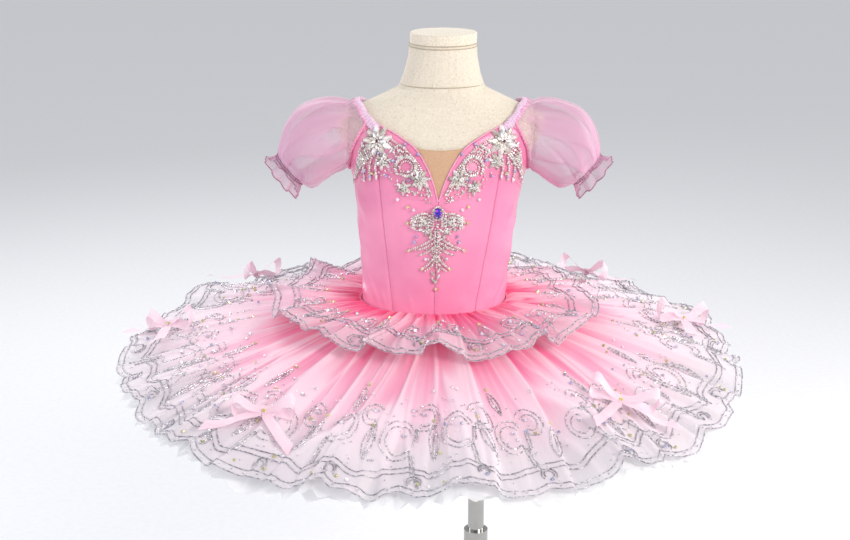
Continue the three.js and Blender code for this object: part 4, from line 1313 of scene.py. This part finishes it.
@dataclass
class Layer:
    """One layer of the skirt: a plate of net, gathered on the seam under the waist."""

    name: str
    node: str
    reach: float
    seam: float
    middle: float
    edge: float
    finish: Sheer
    slot: str
    lobes: int
    depth: float  # how deep its scallops or dags are cut
    cut: Edge
    columns: int
    rows: int
    pleat: float = 3.0  # height of its soft radial folds at the edge
    flute: float = 0.0  # height of its fluted edge
    uneven: float = 0.0  # how much shorter it hangs in some places
    phase: float = 0.0

    SEWN_Z = -14.0
    CLEARANCE = 2.6
    WAIST_REACH = 88.0
    FULL_REACH = 395.0
    CURVE = 1.15
    PLEATS = (
        # folds in half the skirt, wander, seed, share of the height, the way each one lies
        (11, 0.9, 0.3, 1.0, 1), (9, -0.8, 1.7, 0.9, -1), (22, 1.4, 4.1, 0.45, 1), (17, -1.2, 2.6, 0.4, -1),
    )
    RIM = ((3, 4.0, 1.0), (7, 3.0, 0.4))
    FOLDS = ((5, 4.0, 0.6), (9, 3.0, 2.1), (14, 5.0, 0.0))

    @staticmethod
    def waves(table: Sequence[tuple[int, float, float]], angle: np.ndarray) -> np.ndarray:
        """The sum of a few waves round the skirt, each with its count, height and turn."""
        return sum(height * np.sin(count * angle + turn) for count, height, turn in table)

    def warped(self, angle: np.ndarray) -> np.ndarray:
        """The angle in the flat cut: the gathers are closer in some places than in others."""
        return angle + 0.028 * np.sin(7 * angle + 1) + 0.014 * np.sin(17 * angle + self.phase)

    def drift(self, angle: np.ndarray) -> np.ndarray:
        """How far the folds wander from an even spacing."""
        return 0.5 * np.sin(3 * angle + self.phase) + 0.35 * np.sin(5 * angle + 2)

    def full(self) -> float:
        """The share of the whole skirt's reach that this layer has."""
        return (self.reach - self.WAIST_REACH) / (self.FULL_REACH - self.WAIST_REACH)

    def cut_in(self, angle: np.ndarray) -> np.ndarray:
        """How far the edge is cut in from the layer's reach, in millimetres."""
        lobe = self.warped(angle) * self.lobes / 2 + self.phase
        if self.cut is Edge.SCALLOPED:
            return self.depth * (1 - np.sqrt(1 - 0.94 * np.sin(lobe) ** 4))
        dag = lobe / math.pi
        uneven = 0.45 + 0.55 * self.luck(np.floor(dag) % self.lobes, 0.9)
        return self.depth * (1 - uneven * (1 - np.abs(2 * (dag % 1) - 1)))

    def luck(self, number: np.ndarray, seed: float) -> np.ndarray:
        """A share from 0 to 1 for each numbered fold, always the same one."""
        return (np.sin(number * 12.99 + seed + self.phase) * 437.58) % 1

    def doubled(self, angle: np.ndarray, t: np.ndarray) -> np.ndarray:
        """How far the cloth lies double: each fold has a crisp edge that fades out over its breadth."""
        drift = self.drift(angle)
        bend = 0.3 * np.sin(2.6 * t + 5 * angle + self.phase) + 0.12 * np.sin(6 * t + 11 * angle)
        total = np.zeros(np.broadcast(angle, t).shape)
        for count, wander, seed, share, way in self.PLEATS:
            at = count * angle / math.pi + wander * (drift + bend) + seed
            number = np.floor(at)
            off = at - number
            off = off if way > 0 else 1 - off
            chance = self.luck(number % (2 * count), seed)
            starts = soft_step(0.8 * chance - 0.35, 0.8 * chance, t)
            strength = share * (0.3 + 0.7 * ((chance * 7.3) % 1))
            rolled = 0.7 * np.exp(-(((off - 0.1) / 0.06) ** 2))
            total += strength * starts * soft_step(0.0, 0.1, off) * ((1 - off) ** 1.5 + rolled)
        return total

    def folds(self, angle: np.ndarray, t: np.ndarray) -> np.ndarray:
        """The height of the layer's fine folds, with t from 0 at the seam to 1 at its edge."""
        drift = self.drift(angle)
        soft = self.pleat * (1.1 * np.minimum(self.doubled(angle, t), 1.5) - 0.35)
        gathers = 1.2 * np.sin(96 * angle + 3 * drift) + 2.2 * np.sin(37 * angle + 5 * drift + self.phase)
        gathers = gathers * np.exp(-((t / 0.28) ** 2)) * soft_step(0.0, 0.06, t)
        flutes = np.sin(11 * angle + 2.6 * drift + self.phase) + 0.5 * np.sin(19 * angle - drift + self.phase)
        fluted = self.flute * (0.6 * flutes + 0.5) * t**1.8
        rim = 1.6 * np.sin(47 * angle + 2 * drift) * np.clip((t - 0.8) / 0.2, 0, 1) ** 2
        return soft * np.minimum(t * 1.6, 1) ** 1.2 + gathers + fluted + rim

    def surface(self, angle: np.ndarray, share: np.ndarray, lift: np.ndarray | float = 0.0) -> np.ndarray:
        """Points on the layer.

        Args:
            angle: radians round the skirt from its front, towards the wearer's left.
            share: share of the whole skirt's reach, 0 at the seam.
            lift: height above the cloth.

        Returns:
            Body points.
        """
        angle, share, lift = np.broadcast_arrays(np.asarray(angle, float), share, lift)
        sewn = Body.point(angle, np.full(angle.shape, self.SEWN_Z), self.CLEARANCE)
        reach = self.FULL_REACH + self.waves(self.RIM, angle)
        drop = 94 + 19 * np.cos(angle) - 3 * np.cos(3 * angle)
        t = np.clip(share / self.full(), 0, 1.02)
        bulge = self.seam * (1 - t) * (1 - 2 * t) + self.middle * 4 * t * (1 - t)
        bulge = bulge + self.edge * t * (2 * t - 1)
        z = self.SEWN_Z + (-drop - self.SEWN_Z) * np.maximum(share, 0) ** self.CURVE
        z = z + self.waves(self.FOLDS, angle) * np.maximum(share, 0) ** 1.5
        z = z + bulge + self.folds(angle, t) + lift
        drift = self.drift(angle)
        sway = 1.5 * self.flute * np.cos(11 * angle + 2.6 * drift + self.phase) * t**2.2 / self.reach
        x = lerp(sewn[:, 0], reach * np.sin(angle + sway), share)
        y = lerp(sewn[:, 1], -reach * np.cos(angle + sway), share)
        return stack(x, y, z)

    def from_edge(self, angle: np.ndarray, inward: np.ndarray | float, scalloped: float = 1.0) -> np.ndarray:
        """The share at a distance in from the edge, in millimetres."""
        away = inward + scalloped * self.cut_in(angle)
        away = away + self.uneven * (0.5 + 0.5 * np.sin(5 * angle + 1.2) * np.sin(3 * angle + 0.4))
        return self.full() - away / (self.FULL_REACH - self.WAIST_REACH)

    def build(self) -> bpy.types.Object:
        """The layer as a sheet."""
        made = cloth(
            self.name, self.columns, self.rows,
            lambda u, v: self.surface(u * TAU, v * self.from_edge(u * TAU, 0.0)),
            Vector((0.0, 0.0, -2.0)), ring=True, doubled=lambda u, v: self.doubled(u * TAU, v),
        )
        self.finish.dress(made)
        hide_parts(self.node)
        return made


@dataclass
class SilverLace:
    """Silver embroidery along a layer's edge: corded scallops, scrolls and leaves of sequin thread."""

    layer: Layer
    deep: float  # how far in from the edge the motifs reach
    seed: int
    cords: list[np.ndarray] = field(default_factory=list)
    stitches: list[np.ndarray] = field(default_factory=list)
    stones: list[Gem] = field(default_factory=list)
    beads: list[Gem] = field(default_factory=list)
    lift: float = 0.9
    dash: float = 3.0
    gap: float = 1.3
    cord_radius: float = 0.68
    stitch_radius: float = 0.85

    DEEP_LACE = 90.0  # lace deeper than this has two rows of scrolls
    STONE_TINTS = ("#d9d49c", "#fbf9fc", "#bcbfe4", "#e9e2f2")
    BEAD_TINTS = ("#f6f3f6", "#d9d4dc", "#ffffff", "#c5c0ca")

    def at(self, t: np.ndarray, inward: np.ndarray, scalloped: float = 1.0) -> np.ndarray:
        """Body points at t millimetres along the edge and this far in from it."""
        angle = np.asarray(t, float) / self.layer.reach
        return self.layer.surface(angle, self.layer.from_edge(angle, inward, scalloped), self.lift)

    def curve(self, t: Sequence[float], inward: Sequence[float], corded: bool = False) -> None:
        """Sews a line: a cord, or a row of stitches."""
        line = self.at(np.array(t), np.array(inward), 0.5)
        if corded:
            self.cords.append(line)
        else:
            self.stitches.extend(dashes(line, self.dash, self.gap))

    def gem(self, t: float, inward: float, size: float, cut: Cut, tint: int) -> None:
        """Sews one stone or bead."""
        at = self.at([t, t + 2, t], np.array([inward, inward, inward + 2]), 0.5)
        up = np.cross(at[1] - at[0], at[2] - at[0])
        up *= np.sign(up[2])
        height = size * (0.9 if cut is Cut.BEAD else 0.5)
        (self.beads if cut is Cut.BEAD else self.stones).append(
            Gem(at[0], up, at[1] - at[0], size, size, height, cut, tint)
        )

    def ring(self, t: float, inward: float, radius: float, side: int, tail: float) -> None:
        """A double scroll that ends in a tail towards the edge."""
        for r in (radius, radius - 7.0):
            a = np.linspace(0.15 * math.pi, 1.75 * math.pi, 22)
            x, y = t + side * r * np.cos(a), inward + r * 1.15 * np.sin(a)
            end = np.linspace(0.1, 1, 8)
            x = np.concatenate((x, x[-1] + side * 5 * end))
            y = np.concatenate((y, y[-1] - tail * end**1.3))
            self.curve(x[y > 8], y[y > 8])
        self.gem(t + side * 0.2 * radius, inward + 0.25 * radius, 5.0, Cut.ROUND, 3)

    def leaf(self, t: float, inward: float, length: float, slant: float) -> None:
        """A long leaf: two arcs that meet in points, with a vein."""
        s = np.linspace(0, 1, 14)
        for bulge in (-6.5, 6.5):
            self.curve(t + slant * s + bulge * np.sin(math.pi * s), inward + length * s)
        self.curve(t + slant * s[2:-3], inward + length * s[2:-3])
        self.gem(t + slant, inward + length + 3, 4.2, Cut.ROUND, 0)

    def hook(self, t: float, inward: float, radius: float, side: int) -> None:
        """A small corded hook near the edge."""
        a = np.linspace(-0.4 * math.pi, 1.2 * math.pi, 16)
        for r in (radius, radius - 3.2):
            self.curve(t + side * r * np.cos(a), inward + r * np.sin(a), corded=True)

    def scallops(self) -> None:
        """The corded double lines along the edge, the inner swags, and the beads between them."""
        around = np.linspace(0, TAU * self.layer.reach, self.layer.lobes * 26 + 1)
        for inward in (0.8, 8.4):
            self.cords.append(self.at(around, np.full(around.shape, inward)))
        angle = around / self.layer.reach
        lobe = self.layer.warped(angle) * self.layer.lobes / 2 + self.layer.phase
        swag = 25 + 15 * np.abs(np.sin(lobe)) ** 1.3 + 5 * np.sin(3.2 * angle + self.seed)
        for extra in (0.0, 7.0):
            self.cords.append(self.at(around, swag + extra, 0.0))
        for t in np.arange(0, around[-1], 13.0):
            at = self.at([t, t + 2, t], np.array([4.6, 4.6, 6.6]))
            up = np.cross(at[1] - at[0], at[2] - at[0])
            self.beads.append(Gem(at[0], up * np.sign(up[2]), at[1] - at[0], 2.2, 2.2, 2.0, Cut.BEAD, int(t)))

    def build(self) -> list[bpy.types.Object]:
        """Builds and dresses the embroidery, and returns its pieces."""
        rng = random.Random(self.seed)
        self.scallops()
        unit = TAU * self.layer.reach / self.layer.lobes
        for i in range(self.layer.lobes):
            t = (i + rng.uniform(0.1, 0.3)) * unit
            side = rng.choice((-1, 1))
            far = self.deep
            if far > self.DEEP_LACE:
                self.ring(t + 0.2 * unit, 80 + rng.uniform(-6, 10), rng.uniform(19, 25), side, 40)
                self.leaf(t + 0.74 * unit, 44 + rng.uniform(-4, 6), rng.uniform(44, 62), rng.uniform(-16, 16))
                self.ring(t + 0.62 * unit, 112 + rng.uniform(-8, 8), rng.uniform(15, 20), -side, 30)
                if i % 2:
                    self.leaf(t + 0.2 * unit, 118 + rng.uniform(-6, 6), 40, rng.uniform(-12, 12))
            else:
                self.ring(t + 0.3 * unit, 52 + rng.uniform(-3, 6), rng.uniform(11, 15), side, 20)
                self.leaf(t + 0.75 * unit, 38, rng.uniform(26, 38), rng.uniform(-9, 9))
            self.hook(t + rng.uniform(0.35, 0.55) * unit, 22 + rng.uniform(-3, 4), rng.uniform(7, 9), side)
            self.gem(t + 0.5 * unit, 18, 4.2, Cut.ROUND, rng.choice((0, 2, 3)))
            for _ in range(int(far / 20)):
                self.gem(
                    t + rng.uniform(0, unit), rng.uniform(12, far + 14), rng.uniform(3.0, 4.8), Cut.ROUND,
                    rng.choice((0, 0, 1, 1, 1, 2, 3, 3)),
                )
            for _ in range(int(far / 7)):
                self.gem(t + rng.uniform(0, unit), rng.uniform(14, far), 1.9, Cut.BEAD, rng.randrange(4))
        name = self.layer.name
        made = [
            threads(name + "_silver_cord", self.cords, self.cord_radius),
            threads(name + "_sequin_thread", self.stitches, self.stitch_radius),
            gems(name + "_stones", self.stones, self.STONE_TINTS, self.seed + 1),
            gems(name + "_beads", self.beads, self.BEAD_TINTS, self.seed + 2),
        ]
        for one, finish in zip(made, (Finishes.CORD, Finishes.STITCH, Finishes.STONES, Finishes.BEADS)):
            finish.dress(one)
        return made


@dataclass
class Knickers:
    """The net knickers that the skirt is sewn to: the CAD piece's shape, with its fine gathers."""

    def build(self) -> bpy.types.Object:
        """Builds and dresses the knickers."""
        mesh = frame["nodes"]["knickers"].data.copy()
        mesh.name = "gathered_knickers"
        made = bmesh.new()
        made.from_mesh(mesh)
        bmesh.ops.remove_doubles(made, verts=made.verts, dist=1e-6)
        under_hem = Vector((0, 0, (WAIST_HEIGHT + Layer.SEWN_Z - 2) * MM))
        bmesh.ops.bisect_plane(
            made, geom=[*made.verts, *made.edges, *made.faces], plane_co=under_hem, plane_no=(0, 0, 1),
            clear_outer=True,
        )
        bmesh.ops.holes_fill(made, edges=made.edges, sides=0)
        bmesh.ops.triangulate(made, faces=made.faces)
        bmesh.ops.subdivide_edges(made, edges=made.edges, cuts=2, use_grid_fill=True)
        bmesh.ops.recalc_face_normals(made, faces=made.faces)
        for vert in made.verts:
            turn = math.atan2(vert.co.x, -vert.co.y)
            vert.co += vert.normal * 0.35 * MM * math.sin(turn * 70 + vert.co.z * 60)
        made.to_mesh(mesh)
        made.free()
        mesh.shade_smooth()
        result = piece("gathered_knickers", mesh)
        Finishes.NET_KNIT.dress(result)
        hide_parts("knickers")
        return result


@dataclass
class Skirt:
    """The five layers, their embroidery and the knickers."""

    layers: dict[str, Layer] = field(default_factory=dict)
    waist: tuple[float, float] = (88.0, 73.0)  # half axes of the hole at the waist
    allowance: float = 60.0  # how much wider a layer's cut is than the finished layer
    overlay_allowance: float = 42.0

    def __post_init__(self) -> None:
        """Lists the layers from the top one down."""
        rows = (
            Layer("skirt_overlay_tulle", "skirt_overlay", 214, 5, 16, 17, Finishes.OVERLAY, "pink_tulle",
                  15, 12, Edge.SCALLOPED, 760, 48, 3.8, 19.0, 20.0, 0.7),
            Layer("skirt_main_tulle", "skirt_main_layer", 395, 0, 0, 0, Finishes.PLATE, "ombre_tulle",
                  29, 15, Edge.SCALLOPED, 980, 66, 5.4, 3.4, 0.0, 0.0),
            Layer("net_upper_tulle", "net_layer_upper", 400, -7, -7, -11, Finishes.NET, "white_net",
                  94, 15, Edge.DAGGED, 752, 24, 3.4, 3.5, 0.0, 0.4),
            Layer("net_middle_tulle", "net_layer_middle", 391, -15, -16, -21, Finishes.NET, "white_net",
                  86, 15, Edge.DAGGED, 688, 22, 3.4, 3.5, 3.0, 1.3),
            Layer("net_lower_tulle", "net_layer_lower", 364, -24, -26, -31, Finishes.NET, "white_net",
                  78, 15, Edge.DAGGED, 624, 20, 3.4, 3.5, 4.0, 2.2),
        )
        self.layers = {row.node: row for row in rows}

    def build(self) -> None:
        """Builds and dresses the skirt."""
        knickers = Knickers().build()
        for node, layer in self.layers.items():
            made = layer.build()
            sewn = []
            if node == "skirt_overlay":
                sewn = SilverLace(layer, 74, 21).build()
            if node == "skirt_main_layer":
                sewn = SilverLace(layer, 150, 5).build()


# ---- Bows ------------------------------------------------------------------------------------


@dataclass
class Bow:
    """A small bow of sheer ribbon with a stone on its knot, laid on the skirt."""

    word: str
    angle: float
    reach: float
    layer: Layer
    turned: float = 0.0  # radians that it is turned on the cloth
    width: float = 13.0
    loop: float = 40.0
    tail: float = 72.0
    lift: float = 6.0
    reading: tuple[float, float] = (0.12, 0.06)  # how far off the cloth's lie is read, across and out

    def frame(self) -> tuple[np.ndarray, np.ndarray, np.ndarray, np.ndarray]:
        """The knot's place, and the ways across, outward and up from the cloth there."""
        wide, far = self.reading
        a = self.angle + np.array([0.0, -wide, wide, 0.0, 0.0])
        span = self.layer.FULL_REACH - self.layer.WAIST_REACH
        share = (self.reach - self.layer.WAIST_REACH) / span + np.array([0.0, 0.0, 0.0, -far, far])
        at = self.layer.surface(a, share, self.lift)
        across = (at[2] - at[1]) / np.linalg.norm(at[2] - at[1])
        outward = (at[4] - at[3]) / np.linalg.norm(at[4] - at[3])
        up = np.cross(across, outward)
        up *= np.sign(up[2]) / np.linalg.norm(up)
        cos, sin = math.cos(self.turned), math.sin(self.turned)
        middle = at[0] + up * max(0.0, float((at[1:3].mean(axis=0) - at[0]) @ up))
        return middle, across * cos + outward * sin, outward * cos - across * sin, up

    def strip(self, name: str, path: Callable, tilt: Callable, slant: float = 0.0) -> bpy.types.Object:
        """A ribbon along a path.

        Args:
            name: the piece's name.
            path: gives points across, outward and up from the knot at shares of its length.
            tilt: gives the way across the ribbon, in the same directions.
            slant: how much further one edge is cut at the far end.

        Returns:
            The ribbon.
        """
        at, across, outward, up = self.frame()
        axes = np.array([across, outward, up])

        def shape(u: np.ndarray, v: np.ndarray) -> np.ndarray:
            spread = v + slant * (u - 0.5) * soft_step(0.8, 1.0, v)
            side = tilt(v)
            narrow = lerp(0.45, 1.0, soft_step(0.0, 0.16, v))
            local = path(spread) + side * ((u - 0.5) * self.width * narrow)[:, None]
            return at + local @ axes

        made = cloth(name, 6, 40, shape, Vector((0, 0, 0)))
        Finishes.RIBBON.dress(made)
        return made

    def build(self, seed: int) -> None:
        """Builds and dresses the bow."""
        rng = random.Random(seed)
        for side in (-1, 1):
            lean = rng.uniform(-0.3, 0.2)
            open_ = rng.uniform(13, 17)
            reach = self.loop * rng.uniform(0.9, 1.2)

            def loop(
                v: np.ndarray, side: int = side, lean: float = lean, open_: float = open_,
                reach: float = reach,
            ) -> np.ndarray:
                far = np.sin(math.pi * v) ** 0.8 * reach
                off = open_ * np.sin(TAU * v) * np.sin(math.pi * v)
                return stack(side * far, -0.1 * far + lean * far - 0.1 * off, 5 + 0.2 * far + 0.95 * off)

            def loop_tilt(v: np.ndarray) -> np.ndarray:
                return stack(0.12 * np.cos(math.pi * v), 0.86, -0.5)

            self.strip(f"bow_{self.word}_loop_{'ab'[side > 0]}", loop, loop_tilt)
            splay = math.radians(rng.uniform(56, 72)) if side > 0 else math.radians(rng.uniform(8, 20))
            sign = side * (1 if self.angle < 0 else -1)

            def tail(v: np.ndarray, sign: int = sign, splay: float = splay) -> np.ndarray:
                far = v * self.tail
                wave = 2.2 * np.sin(v * 7 + splay)
                return stack(
                    sign * far * math.cos(splay), far * math.sin(splay), 3.5 + 1.4 * wave * v - 0.01 * far
                )

            def tail_tilt(v: np.ndarray, sign: int = sign, splay: float = splay) -> np.ndarray:
                return stack(-sign * math.sin(splay), math.cos(splay), 0.25 * np.sin(v * 4))

            self.strip(f"bow_{self.word}_tail_{'ab'[side > 0]}", tail, tail_tilt, 0.16)
        at, across, outward, up = self.frame()
        knot = cloth(
            f"bow_{self.word}_knot", 20, 12,
            lambda u, v: at
            + (across * (5.0 * (v - 0.5) * (1 + 0.2 * np.cos(3 * u * TAU)))[:, None])
            + outward * ((4.4 + 0.5 * np.cos(8 * u * TAU)) * np.cos(u * TAU))[:, None]
            + up * (2.5 + 3.4 * np.sin(u * TAU))[:, None],
            Vector(world(at + up * 2.5)[0]), ring=True, ends=True,
        )
        Finishes.RIBBON.dress(knot)
        set_on = Gem(at + up * 5.6, up, across, 4.8, 4.8, 2.4, Cut.ROUND)
        stone = gems(f"bow_{self.word}_stone", [set_on], ("#e6dc7c",), seed)
        Finishes.STONES.dress(stone)
        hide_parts("bow_" + self.word)


@dataclass
class Bows:
    """The six bows round the skirt."""

    layer: Layer
    places: tuple[tuple[str, float, float, float], ...] = (
        # word, degrees round the skirt, reach, degrees turned on the cloth
        ("front_right", -37, 311, -37), ("front_left", 44, 307, 44), ("side_right", -98, 339, -60),
        ("side_left", 100, 330, 62), ("back_left", 138, 320, 12), ("back_right", -134, 340, -10),
    )

    def build(self) -> None:
        """Builds every bow."""
        for i, (word, degrees, reach, turned) in enumerate(self.places):
            Bow(word, math.radians(degrees), reach, self.layer, math.radians(turned)).build(40 + i)


# ---- Studio ----------------------------------------------------------------------------------


@dataclass
class Studio:
    """The plain floor, the soft lights and the camera."""

    camera_at: tuple[float, float, float] = (-0.0079, -1.8705, 1.2025)
    camera_down: float = 16.0
    lens: float = 65.65
    floor_size: float = 80.0
    aim: tuple[float, float, float] = (0.0, 0.0, 0.7)  # where the square lights face
    sun_energy: float = 0.22
    sun_angle: float = 50.0
    sky_colour: str = "#eef0f4"
    sky_strength: float = 0.66

    def camera(self) -> None:
        """The camera, in front of the skirt and looking down on it."""
        data = bpy.data.cameras.new("camera")
        data.lens = self.lens
        data.sensor_width = 36.0
        made = link("camera", data)
        made.location = self.camera_at
        made.rotation_euler = (math.radians(90 - self.camera_down), 0.0, 0.0)
        bpy.context.scene.camera = made

    def floor(self) -> None:
        """A plain pale floor."""
        made = bmesh.new()
        bmesh.ops.create_grid(made, x_segments=1, y_segments=1, size=self.floor_size / 2)
        mesh = bpy.data.meshes.new("floor")
        made.to_mesh(mesh)
        made.free()
        floor = link("floor", mesh)
        Plain("pale matt floor", "#ededef", "#f0f0f2", 90.0, 0.0, 0.95, 0.0).dress(floor)

    def light(self, name: str, at: Sequence[float], size: float, power: float, colour: str) -> None:
        """One soft square light that faces the bodice."""
        data = bpy.data.lights.new(name, "AREA")
        data.shape = "SQUARE"
        data.size = size
        data.energy = power
        data.color = linear(colour)[:3]
        made = link(name, data)
        made.location = at
        made.rotation_euler = (Vector(at) - Vector(self.aim)).to_track_quat("Z", "Y").to_euler()

    def sun(self) -> None:
        """A weak, broad light from straight above."""
        data = bpy.data.lights.new("above", "SUN")
        data.energy = self.sun_energy
        data.angle = math.radians(self.sun_angle)
        link("above", data)

    def sky(self) -> None:
        """The even light all round."""
        sky = bpy.data.worlds.new("studio")
        sky.use_nodes = True
        sky.node_tree.nodes["Background"].inputs[0].default_value = linear(self.sky_colour)
        sky.node_tree.nodes["Background"].inputs[1].default_value = self.sky_strength
        bpy.context.scene.world = sky

    def build(self) -> None:
        """Builds the studio."""
        self.camera()
        self.floor()
        self.light("key", (1.8, -2.0, 2.0), 0.9, 52, "#fffaf5")
        self.light("fill", (-2.2, -1.6, 1.7), 2.0, 16, "#f0f3ff")
        self.light("rim", (-0.8, 2.2, 2.4), 1.5, 22, "#ffffff")
        self.light("side_left", (2.3, 0.7, 1.1), 0.8, 16, "#ffffff")
        self.light("side_right", (-2.3, 0.5, 1.1), 0.8, 12, "#ffffff")
        self.sun()
        self.sky()
        bpy.context.scene.view_settings.view_transform = "Standard"
        bpy.context.scene.cycles.transparent_max_bounces = 24


def main() -> None:
    """Builds every sub-assembly in order."""
    logging.basicConfig(level=logging.INFO, format="%(message)s")
    Studio().build()
    DressForm().build()
    Stand().build()
    Bodice().build()
    LaceYoke().build()
    Straps().build()
    Sleeves().build()
    skirt = Skirt()
    skirt.build()
    Bows(skirt.layers["skirt_main_layer"]).build()


if __name__ == "__main__":
    main()
